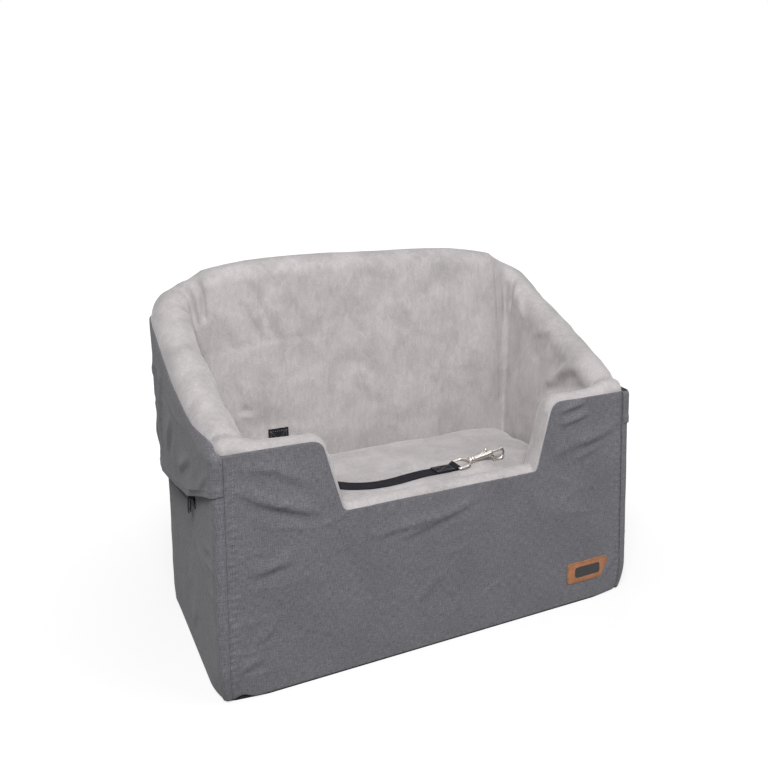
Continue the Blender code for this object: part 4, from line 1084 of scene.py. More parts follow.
def slackness(cloth, seed, coarse=2.6 * mm, fine=0.9 * mm, creases=1.6 * mm):
    """The unevenness of cloth that lies slack on a board, with thin creases in places."""
    billow = coarse * wander(cloth.grid, 95 * mm, seed) + fine * wander(cloth.grid, 30 * mm, seed + 1)
    pulled = np.abs(wander(cloth.grid * (1.0, 1.0, 2.2), 80 * mm, seed + 2))
    places = np.clip(3 * wander(cloth.grid, 110 * mm, seed + 3), 0, 1)
    return billow + creases * places * np.clip(1 - 5 * pulled, 0, 1) ** 2


def seam_inset(height):
    """How far in from the corner the front panel's seam runs, at a height."""
    return lerp(seam_inset_bottom, seam_inset_top, np.clip(height / front_height, 0, 1))


def edge_share(cloth, reach):
    """0 on the panel's sewn ends and 1 further in than reach."""
    from_end = np.minimum(cloth.s, cloth.s[-1:] - cloth.s)
    return np.clip(from_end / reach, 0, 1)


def side_columns(mirror):
    """Stations from the front corner's seam along a side to the back."""
    path = front_corner(side_seam_angle, 180) + left_side(side_start, side_end)[1:] + back_corner()[1:]
    return [st.mirrored() if mirror else st for st in path]


def make_front_panel():
    """The front panel, round to the seams at both corners, its top edge cut down to the notch."""
    edge = front_outline(half_width - front_corner_radius)
    turn = list(reversed(front_corner(270, front_seam_angle)))[:-1]
    tops = {}
    columns = list(turn)
    for point in edge:
        st = Station(point.x, front_y, 0, -1)
        tops[id(st)] = point.z
        columns.append(st)
    columns += [st.mirrored() for st in reversed(turn)]
    count = round(front_height / rows_per_height)

    def rows(st):
        gape = 5 * mm * math.exp(-((st.x - gape_place) / (9 * mm)) ** 2)
        return even_rows(cover_lift + gape, tops.get(id(st), front_height), count)

    cloth = Cloth(columns, rows, lower_offset)
    heights = fold_heights(cloth.x, cloth.t, front_folds, 2.0) + slackness(cloth, 1)
    from_seam = np.abs(cloth.x) - half_width + seam_inset(cloth.t)
    wave = np.sin(cloth.t * math.tau / pucker_pitch + 2 * wander(cloth.grid, 25 * mm, 4))
    pucker = 0.9 * mm * wave * np.exp(-(from_seam / (7 * mm)) ** 2)
    pucker += 0.7 * mm * np.exp(-((from_seam - 4 * mm) / (3 * mm)) ** 2)
    low = np.clip(cloth.t / (25 * mm), 0, 1)
    cloth.raise_by(proud((heights * edge_share(cloth, 15 * mm) + pucker) * low))
    piece = cloth_shell("front_panel_cloth", cloth, canvas_thickness, stuff("canvas"))
    settle(piece, "booster", "canvas", "front_cover")
    for side in (-1, 1):
        sew(("booster", "grey thread", "long"),
            [cloth.at_x(side * (half_width - seam_inset(z)), z, 0.2 * mm)
             for z in spread(14 * mm, front_height - 6 * mm, 3 * mm)])


def make_side_panels():
    """The lower side panels, from the corner seam to the back, with a folded edge at the seam."""
    count = round(hem_front / rows_per_height)
    for side, mirror in (("left", False), ("right", True)):
        columns = side_columns(mirror)
        cloth = Cloth(columns, lambda st: even_rows(
            cover_lift, hem_height(st) + max(lerp(hem_cover_lap, -hem_cover_lap / 2, st.turn), 0.0), count),
            lambda st, z: lower_offset(st, z) + cover_lap * front_share(st))
        folded = 0.8 * mm * (1 - np.clip((cloth.s - 8 * mm) / (3 * mm), 0, 1))
        heights = fold_heights(cloth.s, cloth.t, side_folds, 1.1) + slackness(cloth, 3 + mirror)
        under_hem = 1 - np.clip((cloth.t - hem_back + 25 * mm) / (30 * mm), 0, 1)
        low = np.clip(cloth.t / (25 * mm), 0, 1)
        cloth.raise_by(proud(heights * edge_share(cloth, 18 * mm) * under_hem * low) + folded * low)
        piece = cloth_shell(side + "_side_cloth", cloth, canvas_thickness, stuff("canvas"))
        settle(piece, "booster", "canvas", side + "_lower_cover")
        min(cloth.flat_area, float(cloth.s.max()) * hem_front)


def make_skirts():
    """The bucket's skirts, whose hems hang free over the side panels."""
    count = round((rim_middle - hem_back) / rows_per_height)
    for side, mirror in (("left", False), ("right", True)):
        columns = side_columns(mirror)
        cloth = Cloth(columns, lambda st: even_rows(hem_height(st), shown_rim(st), count), skirt_offset)
        rise = (cloth.t - cloth.t[:, :1]) / (cloth.t[:, -1:] - cloth.t[:, :1])
        heights = fold_heights(cloth.s, cloth.t, skirt_folds, 1.5) + slackness(cloth, 5 + mirror)
        hem = 0.4 * mm * (1 - np.clip((cloth.t - cloth.t[:, :1] - 10 * mm) / (2 * mm), 0, 1))
        flutter = 0.6 * mm * np.sin(cloth.s * math.tau / (74 * mm)) * (1 - rise) ** 3
        held = edge_share(cloth, 20 * mm) * np.clip((1 - rise) * 6, 0, 1)
        cloth.raise_by(proud((heights + flutter) * held) + hem)
        piece = cloth_shell(side + "_skirt_cloth", cloth, canvas_thickness, stuff("canvas"))
        settle(piece, "booster", "canvas", side + "_upper_cover")
        tall = rim_middle - hem_back
        min(cloth.flat_area, float(cloth.s.max()) * tall)
        sew_cloth(("booster", "grey thread", "fine"), cloth,
                  [(column, cloth.t[column, 0] + hem_stitch_rise) for column in range(1, len(columns) - 1)])


def make_back_panel():
    """The back panel, from the floor to the rim, with a row of stitches down each side."""
    count = round(rim_middle / (4.5 * mm))
    cloth = Cloth(along_back(back_half_span - gap),
                  lambda st: even_rows(cover_lift, rim_height(st), count), back_offset)
    heights = fold_heights(cloth.x, cloth.t, back_folds, 1.5) + slackness(cloth, 8)
    loops = np.exp(-((np.abs(cloth.x) - belt_loop_spacing / 2) / (35 * mm)) ** 4
                   - ((cloth.t - belt_loop_bottom - belt_loop_height / 2) / (80 * mm)) ** 4)
    held = edge_share(cloth, 18 * mm) * np.clip(cloth.t / (25 * mm), 0, 1) * (1 - loops)
    held = held * np.clip((cloth.t[:, -1:] - cloth.t) / (30 * mm), 0, 1)
    cloth.raise_by(proud(np.minimum(heights, 3 * mm) * held))
    piece = cloth_shell("back_panel_cloth", cloth, canvas_thickness, stuff("canvas"))
    settle(piece, "booster", "canvas", "back_cover")
    min(cloth.flat_area, 2 * back_half_span * rim_middle)
    for side in (-1, 1):
        sew(("booster", "grey thread", "long"),
            [cloth.at_x(side * (back_half_span - 8 * mm), z, 0.2 * mm)
             for z in spread(14 * mm, rim_corner - 12 * mm, 6 * mm)])


# The padded bucket

def pad_offset(st, z):
    """Where a padded wall's outer side lies: inside the boards, then swelling out to the bucket's cloth."""
    low = hem_height(st) + pad_start_over_hem
    high = low + pad_swell_height
    if z <= low:
        return -wall_stack
    swollen = upper_offset(st, max(z, high)) - cover_lap
    return lerp(-wall_stack, swollen, min((z - low) / (high - low), 1.0))


def roll_crown(st):
    """How far the roll's outer shoulder lies under its top."""
    return min(wall_thickness / 2, roll_height(st) - rim_height(st) + roll_lap)


outer_rows = 34
quarter_rows = 9
inner_rows = 72
foot_rows = 4


def wall_section(st, ease=0.0):
    """A padded wall all round: up its outer side, over the roll, down its inner side and under its foot."""
    near_end = max(0.0, 1 - (st.y - front_wall_back) / roll_end_reach)
    top = roll_height(st) - roll_end_drop * near_end ** 2
    crown = roll_crown(st)
    reach = wall_thickness / 2 - ease
    centre = pad_offset(st, top) - wall_thickness / 2
    shoulder, inner_shoulder = top - crown, top - wall_thickness / 2
    section = [(pad_offset(st, z) - ease, z) for z in
               (lerp(liner_base, shoulder, step / outer_rows) for step in range(outer_rows))]
    for step in range(quarter_rows + 1):
        angle = math.pi / 2 * step / quarter_rows
        section.append((centre + reach * math.cos(angle), shoulder + (crown - ease) * math.sin(angle)))
    for step in range(1, quarter_rows + 1):
        angle = math.pi / 2 * (1 + step / quarter_rows)
        section.append((centre + reach * math.cos(angle), inner_shoulder + reach * math.sin(angle)))
    shoulder_offset = centre - reach
    for step in range(1, inner_rows + 1):
        share = step / inner_rows
        section.append((lerp(shoulder_offset, ease - wall_foot, share),
                        lerp(inner_shoulder, liner_base, share)))
    for step in range(1, foot_rows + 1):
        section.append((lerp(ease - wall_foot, -wall_stack - ease, step / (foot_rows + 1)), liner_base))
    return [st.point(offset, z) + to_frame for offset, z in section]


# Folds of the bucket's walls. The first number is the distance along the outline from the middle of the back,
# to the left below zero, and the second is z, both in mm; then height and width in mm
wall_folds = [
    ([(-268, 500), (-262, 430)], -4.5, 9), ([(-292, 490), (-284, 415)], -3.5, 8),
    ([(-322, 480), (-318, 420)], -3.5, 9), ([(-190, 460), (-161, 396)], 2.8, 10),
    ([(-174, 490), (-142, 400)], 3.0, 11), ([(-253, 381), (-161, 391), (-60, 394)], -0.6, 5),
    ([(-207, 288), (-189, 285)], -3.0, 6), ([(-120, 470), (-96, 420)], 1.8, 12),
    ([(-40, 460), (-70, 380)], 2.0, 14), ([(60, 470), (88, 392)], 2.2, 12),
    ([(250, 500), (262, 380)], -2.0, 11), ([(289, 470), (294, 380)], -2.0, 9),
    ([(322, 470), (316, 400)], -2.2, 10), ([(414, 370), (448, 388), (497, 398)], 3.4, 11),
    ([(466, 378), (442, 355), (421, 333)], -2.4, 12), ([(470, 300), (512, 330), (556, 350)], 3.6, 12),
    ([(486, 326), (514, 352), (540, 366)], -1.8, 11),
    ([(450, 268), (473, 290), (535, 309), (590, 324)], -2.4, 10), ([(381, 440), (419, 448)], -1.0, 8),
    ([(-400, 430), (-440, 360)], -3.0, 10), ([(-450, 400), (-500, 330)], 2.6, 11),
    ([(-520, 370), (-555, 300)], -2.6, 9), ([(-380, 330), (-440, 280)], 2.0, 12),
    ([(120, 300), (160, 380)], 1.8, 14), ([(-20, 330), (30, 270)], 1.6, 14),
    ([(360, 440), (390, 400)], -2.6, 9)]
roll_bulge = 2.4 * mm
wall_belly = 5 * mm
roll_end_drop = 1.5 * mm
roll_end_reach = 34 * mm
round_end = 4 * mm
round_steps = 4


def make_side_and_back_walls():
    """The padded wall round the sides and back, in one plush skin over its foam."""
    half = []
    for step in range(round_steps, 0, -1):
        angle = math.pi / 2 * step / round_steps
        y = front_wall_back + gap + round_end * (1 - math.sin(angle))
        half.append((Station(-half_width, y, -1, 0), round_end * 0.5 * (1 - math.cos(angle))))
    half += [(st, 0.0) for st in left_side(front_wall_back + gap + round_end, side_end)]
    half += [(st, 0.0) for st in back_corner()[1:]]
    back = [(st, 0.0) for st in along_back(back_half_span)[1:-1]]
    path = half + back + [(st.mirrored(), ease) for st, ease in reversed(half)]
    grid = np.array([wall_section(st, ease) for st, ease in path])
    plan = np.array([(st.x, st.y) for st, ease in path])
    run = np.concatenate([[0], np.cumsum(np.linalg.norm(np.diff(plan, axis=0), axis=1))])
    run -= run[-1] / 2
    s = np.repeat(run[:, None], grid.shape[1], axis=1)
    t = grid[:, :, 2]
    normals = tube_normals(grid)
    row = np.arange(grid.shape[1])
    on_roll = np.clip((row - outer_rows + 6) / 6, 0, 1) * np.clip((grid.shape[1] - foot_rows - row) / 6, 0, 1)
    down = np.clip((row - outer_rows - 2 * quarter_rows) / inner_rows, 0, 1)
    corner = back_half_span + corner_arc / 2
    flat = np.clip((np.abs(np.abs(s) - corner) - corner_arc / 2 + 12 * mm) / (30 * mm), 0, 1)
    belly = wall_belly * np.sin(math.pi * down) ** 2 * flat
    bulge = roll_bulge * np.exp(-((row - outer_rows - quarter_rows) / 6.0) ** 2)
    crest = np.exp(-((row - outer_rows - 6) / 8.0) ** 2)
    soft = 1.9 * mm * wander(grid, 90 * mm, 11) + 1.1 * mm * wander(grid, 34 * mm, 12)
    soft += 0.3 * mm * wander(grid, 9 * mm, 13)
    folds = fold_heights(s, t, wall_folds, 1.5) * (1 - 0.8 * crest)
    heights = (folds + soft * (1 - 0.4 * crest)) * on_roll + belly + bulge
    edge = np.array([shown_rim(st) for st, ease in path])[:, None]
    covered = np.clip((t - edge) / (7 * mm), 0, 1)
    heights = np.where(row < outer_rows + quarter_rows, heights * covered, heights)
    anchor_z = liner_base + anchor_over_seat + anchor_height / 2
    calm = np.exp(-((s - tether_route[0][0]) / (30 * mm)) ** 4 - ((t - anchor_z) / (42 * mm)) ** 4)
    low = np.clip((t - liner_base - cushion_seam_height) / (40 * mm), 0, 1)
    heights = heights * (1 - calm) * np.where(down > 0, low, 1.0)
    ends = np.clip((run[-1] - np.abs(s)) / (14 * mm), 0, 1)
    grid = grid + normals * (heights * ends)[:, :, None]
    kinds = [1 if j < outer_rows - 6 or j >= grid.shape[1] - foot_rows - 1 else 0
             for j in range(grid.shape[1])]
    piece = closed_tube("bucket_wall_plush", grid, [stuff("fleece"), stuff("lining")], kinds=kinds)
    settle(piece, "liner", "fleece", "left_fleece", "right_fleece", "back_fleece", "left_foam", "right_foam",
           "back_foam")


def front_pad_front(x, z, inset):
    """The front wall's outer side: behind the board below, against the canvas above, round at its ends."""
    base = lerp(front_y + wall_stack, front_y + cover_lap,
                min(max((z - front_board_top - front_pad_step) / front_pad_step, 0.0), 1.0))
    radius = front_pad_corner_radius
    into_corner = min(max(0.0, abs(x) - (half_width - wall_stack - radius)), radius - inset)
    return base + radius - math.sqrt((radius - inset) ** 2 - into_corner ** 2)


# Folds of the front wall: x and z in mm, then height and width in mm
front_wall_folds = [
    ([(-250, 330), (-230, 290)], 2.0, 9), ([(-200, 328), (-190, 300)], -1.8, 7),
    ([(-100, 230), (-70, 200)], 1.5, 9), ([(40, 232), (70, 205)], 1.5, 9),
    ([(200, 328), (215, 290)], 2.0, 8), ([(262, 328), (250, 280)], -2.0, 8)]
corner_rise = 11 * mm
corner_rise_reach = 60 * mm


def make_front_wall():
    """The padded front wall, notched like the front panel, its lip showing over the canvas."""
    start = half_width - wall_stack - front_pad_corner_radius
    edge = front_outline(start, front_lip_rise)
    ends = [start + front_pad_corner_radius * math.sin(math.pi / 2 * step / arc_steps)
            for step in range(arc_steps, 0, -1)]
    columns = [Vector((-x, 0, edge[0].z)) for x in ends] + edge
    columns += [Vector((x, 0, edge[0].z)) for x in reversed(ends)]
    for point in columns:
        inward = (half_width - wall_stack - abs(point.x)) / corner_rise_reach
        if inward < 1:
            point.z += corner_rise * math.sin(math.pi * (1 - inward) ** 1.4 * 0.8)
    crown = front_wall_thickness / 2
    rings = []
    for point in columns:
        rise = [lerp(liner_base, point.z - crown, step / outer_rows) for step in range(outer_rows)]
        ring = [Vector((point.x, front_pad_front(point.x, z, 0.0), z)) for z in rise]
        outer, inner = front_pad_front(point.x, point.z, 0.0), front_wall_back
        half, middle = (inner - outer) / 2, (inner + outer) / 2
        for step in range(2 * quarter_rows + 1):
            angle = math.pi * step / (2 * quarter_rows)
            ring.append(Vector((point.x, middle - half * math.cos(angle),
                                point.z - crown + crown * math.sin(angle))))
        ring += [Vector((point.x, inner, lerp(point.z - crown, liner_base, step / outer_rows)))
                 for step in range(1, outer_rows + 1)]
        ring += [Vector((point.x, lerp(inner, ring[0].y, step / 3), liner_base)) for step in (1, 2)]
        rings.append([place + to_frame for place in ring])
    grid = np.array(rings)
    normals = tube_normals(grid)
    row = np.arange(grid.shape[1])
    shown = np.clip((row - outer_rows + 2) / 4, 0, 1) * np.clip((grid.shape[1] - 4 - row) / 8, 0, 1)
    soft = 1.3 * mm * wander(grid, 50 * mm, 21) + 0.5 * mm * wander(grid, 16 * mm, 22)
    lip = 1.2 * mm * np.exp(-((row - outer_rows - quarter_rows) / 5.0) ** 2)
    folds = fold_heights(grid[:, :, 0], grid[:, :, 2], front_wall_folds)
    tops = np.array([point.z for point in columns])[:, None]
    above = np.clip((grid[:, :, 2] - tops + front_lip_rise) / (4 * mm), 0, 1)
    low = np.clip((grid[:, :, 2] - liner_base - cushion_seam_height) / (40 * mm), 0, 1)
    back_side = row > outer_rows + 2 * quarter_rows
    heights = (soft + folds) * shown * np.where(back_side, low, 1.0) + lip
    heights = np.where(row < outer_rows + quarter_rows, heights * above, heights)
    taper = np.clip((half_width - wall_stack - np.abs(grid[:, :, 0])) / (10 * mm), 0, 1)
    grid = grid + normals * (heights * taper)[:, :, None]
    kinds = [1 if j < outer_rows - 4 or j >= grid.shape[1] - 3 else 0 for j in range(grid.shape[1])]
    piece = closed_tube("front_wall_plush", grid, [stuff("fleece"), stuff("lining")], kinds=kinds)
    settle(piece, "liner", "fleece", "front_fleece", "front_foam")


def base_outline(z, depth):
    """The base's plan outline at a height, moved inwards."""
    left = [Station(tuck_reach - half_width, front_y, 0, -1)] + front_corner()
    left += [Station(-half_width, front_y + tuck_reach, -1, 0)] + back_corner()[::3]
    path = left + [st.mirrored() for st in reversed(left)]
    return [st.point(lower_offset(st, z) - depth, z) + to_frame for st in path]


def make_bucket_floor():
    """The cloth that joins the bucket's walls under the cushion."""
    bm = thickened(base_outline(deck_height + gap, wall_stack + gap), (0, 0, liner_floor_thickness))
    layer = bm.loops.layers.uv.new("cloth")
    for face in bm.faces:
        for corner in face.loops:
            corner[layer].uv = corner.vert.co.xy
    piece = link("bucket_floor_cloth", mesh_from(bm, "bucket_floor_cloth"), [stuff("lining")])
    settle(piece, "liner", "fleece", "liner_floor")


cushion_half_width = half_width - wall_foot - cushion_clearance
cushion_front = front_wall_back + cushion_clearance
cushion_back = back_y - wall_foot - cushion_clearance
cushion_half_depth = (cushion_back - cushion_front) / 2
cushion_middle_y = (cushion_back + cushion_front) / 2


def cushion_plan(u, v):
    """A place on the cushion, whose sides are drawn in between its corners."""
    eased = cushion_corner_ease * abs(u * v) ** cushion_corner_power
    x = u * (cushion_half_width - cushion_draw_in * (1 - v * v) - eased)
    y = cushion_middle_y + v * (cushion_half_depth - cushion_draw_in * (1 - u * u) - eased)
    return x, y


def cushion_top(u, v):
    """Height of the cushion's top over the bucket's floor."""
    shape = max((1 - abs(u) ** cushion_plan_power) * (1 - abs(v) ** cushion_plan_power), 0.0)
    full = shape ** cushion_crown_power
    return lerp(cushion_seam_height, cushion_thickness, full), full


pressed_reach = 24 * mm


def press_under_strap(points):
    """Heights of the cushion's top, drawn to what lies on it: the strap and the snap hook."""
    route = np.array([Vector(point) + to_frame for point in tether_route])
    route[:, 2] -= webbing_thickness / 2 + 0.4 * mm
    low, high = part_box("hook_body")
    rest_z = low[2] - 0.2 * mm
    route = np.vstack([route, [(high[0] - 25 * mm, (low[1] + high[1]) / 2, rest_z),
                               (high[0] - 8 * mm, (low[1] + high[1]) / 2, rest_z)]])
    heights = points[:, 2].copy()
    best = np.full(len(points), np.inf)
    target = np.zeros(len(points))
    for a, b in zip(route[:-3], route[1:-2]):
        way = b[:2] - a[:2]
        share = np.clip(((points[:, :2] - a[:2]) @ way) / (way @ way), 0, 1)
        spot = a + share[:, None] * (b - a)
        away = np.linalg.norm(points[:, :2] - spot[:, :2], axis=1)
        closer = away < best
        best = np.where(closer, away, best)
        target = np.where(closer, spot[:, 2], target)
    weight = np.exp(-(np.maximum(best - tether_width / 2, 0) / pressed_reach) ** 2)
    top_side = points[:, 2] > liner_base + cushion_seam_height + 6 * mm
    heights = np.where(top_side, lerp(heights, target, weight), heights)
    spot = route[-1]
    away = np.linalg.norm(points[:, :2] - spot[:2], axis=1)
    under_hook = np.exp(-(away / pressed_reach) ** 2)
    pressed = np.minimum(heights, lerp(heights + 1 * mm, spot[2], under_hook))
    return np.where(top_side, pressed, heights)


cushion_voxel = 6 * mm
cushion_frames = 20
cushion_cap = 7 * mm
cushion_cloth = {
    "vertex_group_mass": "seam", "quality": 5, "mass": 0.3, "tension_stiffness": 12,
    "compression_stiffness": 8, "shear_stiffness": 5, "bending_stiffness": 0.6, "use_pressure": True,
    "uniform_pressure_force": 4, "shrink_min": -0.05}


def inflate(piece, is_pinned):
    """Swell a cushion with cloth simulation, held at its seam, and keep each point near its place."""
    fine = piece.modifiers.new("fine", "REMESH")
    fine.mode = "VOXEL"
    fine.voxel_size = cushion_voxel
    settle_modifiers(piece)
    start = np.array([tuple(vert.co) for vert in piece.data.vertices])
    held = piece.vertex_groups.new(name="seam")
    for index in np.nonzero(is_pinned(start))[0]:
        held.add([int(index)], 1.0, "REPLACE")
    swell = piece.modifiers.new("swell", "CLOTH")
    for key, value in cushion_cloth.items():
        setattr(swell.settings, key, value)
    swell.settings.effector_weights.gravity = 0.0
    swell.point_cache.frame_start = 1
    swell.point_cache.frame_end = cushion_frames
    for step in range(1, cushion_frames + 1):
        bpy.context.scene.frame_set(step)
    settle_modifiers(piece)
    bpy.context.scene.frame_set(1)
    moved = np.array([tuple(vert.co) for vert in piece.data.vertices]) - start
    length = np.maximum(np.linalg.norm(moved, axis=1, keepdims=True), 1e-9)
    return start + moved * np.minimum(1.0, cushion_cap / length)


cushion_columns = 60
cushion_rows = 34
cushion_shrink = 0.988
cushion_flatten = 0.97
cushion_lift = 0.4 * mm
pinned_from = 0.955
cord_radius = 2.3 * mm
cord_inset = 3 * mm
cord_steps = 70


def make_cushion():
    """The seat cushion: crowned, with drawn-in sides, a corded seam and the dents of use."""
    us, vs = ([math.sin(math.pi / 2 * lerp(-1, 1, step / count)) for step in range(count + 1)]
              for count in (cushion_columns, cushion_rows))
    bm = bmesh.new()
    for side in ("top", "bottom"):
        grid = []
        for u in us:
            column = []
            for v in vs:
                x, y = cushion_plan(u, v)
                height, full = cushion_top(u, v)
                z = height if side == "top" else cushion_seam_height * max(0.0, 1 - 2 * full)
                x, y = x * cushion_shrink, lerp(cushion_middle_y, y, cushion_shrink)
                place = Vector((x, y, liner_base + cushion_lift + z * cushion_flatten)) + to_frame
                column.append(bm.verts.new(place))
            grid.append(column)
        for here, there in zip(grid, grid[1:]):
            for j in range(cushion_rows):
                bm.faces.new((here[j], there[j], there[j + 1], here[j + 1]))
    bmesh.ops.remove_doubles(bm, verts=bm.verts, dist=gap / 10)
    bmesh.ops.recalc_face_normals(bm, faces=bm.faces)
    piece = link("seat_cushion_plush", mesh_from(bm, "seat_cushion_plush"), [stuff("fleece")])
    seam_z = liner_base + cushion_seam_height

    def is_pinned(points):
        wide = np.abs(points[:, 0]) / cushion_half_width
        deep = np.abs(points[:, 1] - to_frame.y - cushion_middle_y) / cushion_half_depth
        return (np.maximum(wide, deep) > pinned_from) & (np.abs(points[:, 2] - seam_z) < 5 * mm)

    points = inflate(piece, is_pinned)
    shape = points.reshape(-1, 1, 3)
    top = np.clip((points[:, 2] - seam_z) / (20 * mm), 0, 1)
    dents = 2.2 * mm * wander(shape, 85 * mm, 31)[:, 0] + 0.9 * mm * wander(shape, 30 * mm, 32)[:, 0]
    points[:, 2] += (dents - 1.2 * mm) * top
    points[:, 2] = press_under_strap(points)
    points[:, 2] = np.clip(points[:, 2], liner_base + 0.2 * mm, liner_base + cushion_thickness + 3 * mm)
    piece.data.vertices.foreach_set("co", points.astype(np.float32).ravel())
    finer = piece.modifiers.new("finer", "SUBSURF")
    finer.levels = finer.render_levels = 1
    settle_modifiers(piece)
    piece.data.shade_smooth()
    if not piece.data.materials:
        piece.data.materials.append(stuff("fleece"))
    settle(piece, "liner", "fleece", "seat_cushion")
    edge = []
    inset = 1 - cord_inset / cushion_half_depth
    corners = [(-1, -1), (1, -1), (1, 1), (-1, 1)]
    for (u0, v0), (u1, v1) in zip(corners, corners[1:] + corners[:1]):
        for share in (step / cord_steps for step in range(cord_steps)):
            x, y = cushion_plan(lerp(u0, u1, share), lerp(v0, v1, share))
            edge.append(Vector((x * inset, lerp(cushion_middle_y, y, inset), seam_z)) + to_frame)
    cord = rod_mesh(edge, cord_radius, Vector((0, 0, 1)), sides=10, closed=True)
    mesh = mesh_from(cord, "cushion_corded_seam")
    mesh.shade_smooth()
    settle(link("cushion_corded_seam", mesh, [stuff("fleece")]), "liner", "fleece")


# Zips, loops and patch

zip_slope = (hem_back - hem_knee) / (back_y - hem_knee_y)
tooth_pitch = 2.4 * mm
pull_width = 7.5 * mm
pull_strand = 1 * mm
pull_bight = 1.7 * mm
pull_closing = 0.55


def chain_height(y):
    return hem_knee + zip_slope * (y - hem_knee_y) - zip_drop


def make_zips():
    """Teeth along both tapes of each zip, the sliders' finish, and a doubled ribbon on each pull."""
    for side, out in (("left", -1), ("right", 1)):
        for part, way in (("upper", 1), ("lower", -1)):
            dress(f"{side}_zip_{part}_tape", stuff("tape"))
            rise = way * (zip_running_gap / 2 + zip_bead_height / 2)
            line = [Vector((out * (half_width + zip_standoff), y, chain_height(y) + rise)) + to_frame
                    for y in (hem_knee_y + 1 * mm, side_end - zip_end_clearance - 1 * mm)]
            sew(("booster", "black metal", "tooth"), [(place, Vector((out, 0, 0))) for place in line])
        dress(side + "_zip_slider", stuff("black metal"))
        low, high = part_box(side + "_zip_pull")
        middle_x, middle_y = (low[0] + high[0]) / 2, (low[1] + high[1]) / 2
        bend = high[2] - 2 * pull_bight
        route = [(pull_bight, z) for z in even_rows(low[2] + pull_bight, bend, 4)]
        route += [(pull_bight * math.cos(angle), bend + pull_bight * math.sin(angle))
                  for angle in (math.pi * step / 8 for step in range(1, 8))]
        route += [(-pull_bight * (1 - pull_closing * share),
                   lerp(bend, low[2] + pull_bight * (1 + share), share))
                  for share in (step / 4 for step in range(5))]
        points = [Vector((middle_x + out * away, middle_y, z)) for away, z in route]
        ups = [Vector((0, 1, 0)).cross(way).normalized() for way in headings(points)]
        piece = ribbon(side + "_pull_ribbon", points, ups, pull_width, pull_strand, stuff("webbing"))
        settle(piece, side + "_pull", "webbing", side + "_zip_pull")


thread_lift = 0.1 * mm


def make_belt_loops():
    """Two upright webbing loops on the back, each box-stitched at both ends."""
    low, high = belt_loop_bottom, belt_loop_bottom + belt_loop_height
    tab, rise = belt_loop_tab, belt_loop_rise
    middle = webbing_thickness / 2
    profile = [(low, gap), (low + tab, gap), (low + tab + rise, rise), (high - tab - rise, rise),
               (high - tab, gap), (high, gap)]
    for side, x in (("left", -belt_loop_spacing / 2), ("right", belt_loop_spacing / 2)):
        st = Station(x, back_y, 0, 1, 1.0)
        corners = [st.point(lower_offset(st, z) + away + middle, z) + to_frame for z, away in profile]
        path = []
        for here, there in zip(corners, corners[1:]):
            path += [here.lerp(there, step / 5) for step in range(5)]
        path.append(corners[-1])
        ups = [Vector((0, 1, 0))] * len(path)
        piece = ribbon(side + "_belt_webbing", path, ups, belt_loop_width, webbing_thickness,
                       stuff("webbing"))
        settle(piece, "booster", "webbing", side + "_belt_loop")
        half = belt_loop_width / 2 - 3 * mm
        for start in (low, high - tab):
            z0, z1 = start + 2 * mm, start + tab - 2 * mm
            places = [Vector((x + dx, st.y + lower_offset(st, z) + gap + webbing_thickness + thread_lift, z))
                      for dx, z in ((-half, z0), (half, z0), (half, z1), (-half, z1))]
            sew_box("booster", [(place + to_frame, Vector((0, 1, 0))) for place in places])


def sew_box(body, corners):
    """A box with a cross, sewn through webbing, from its four corners as (place, normal)."""
    ring = corners + corners[:1]
    for a, b in list(zip(ring, ring[1:])) + [(ring[0], ring[2]), (ring[1], ring[3])]:
        sew((body, "grey thread", "fine"), [a, b])


def rounded_rectangle(width, height, corner, steps=6):
    points = []
    for quarter, (sx, sz) in enumerate(((1, 1), (-1, 1), (-1, -1), (1, -1))):
        for step in range(steps + 1):
            angle = math.pi / 2 * (quarter + step / steps)
            points.append((sx * (width / 2 - corner) + corner * math.cos(angle),
                           sz * (height / 2 - corner) + corner * math.sin(angle)))
    return points


def plate(name, outline, thickness, edge, material, place):
    """A thin upright plate with eased edges, its back at a place."""
    bm = thickened([(x, 0, z) for x, z in outline], (0, -thickness, 0))
    rim = [e for e in bm.edges if all(v.co.y < -thickness / 2 for v in e.verts)]
    bmesh.ops.bevel(bm, geom=rim, offset=edge, segments=3, profile=0.6, affect="EDGES")
    mesh = mesh_from(bm, name)
    mesh.transform(Matrix.Translation(place))
    mesh.shade_smooth()
    mesh.set_sharp_from_angle(angle=math.radians(50))
    return link(name, mesh, [material])


def make_patch():
    """The plain copper patch, with a darker plain panel in its middle, sewn on along its edge."""
    place = Vector((patch_from_middle, front_y - gap, patch_over_floor)) + to_frame
    piece = plate("front_patch", rounded_rectangle(patch_width, patch_height, patch_corner), patch_thickness,
                  0.4 * mm, stuff("patch"), place)
    settle(piece, "booster", "patch_leather", "label_patch")
    inner = plate("front_patch_panel", rounded_rectangle(patch_width * 0.62, patch_height * 0.5, 4 * mm),
                  0.5 * mm, 0.2 * mm, stuff("patch panel"), place + Vector((0, -patch_thickness, 0)))
    settle(inner, "booster", "patch_leather")
    border = rounded_rectangle(patch_width - 4 * mm, patch_height - 4 * mm, patch_corner - 2 * mm)
    line = [(place + Vector((x, -patch_thickness, z)), Vector((0, -1, 0))) for x, z in border + border[:1]]
    sew(("booster", "black thread", "fine"), line)


# The strap

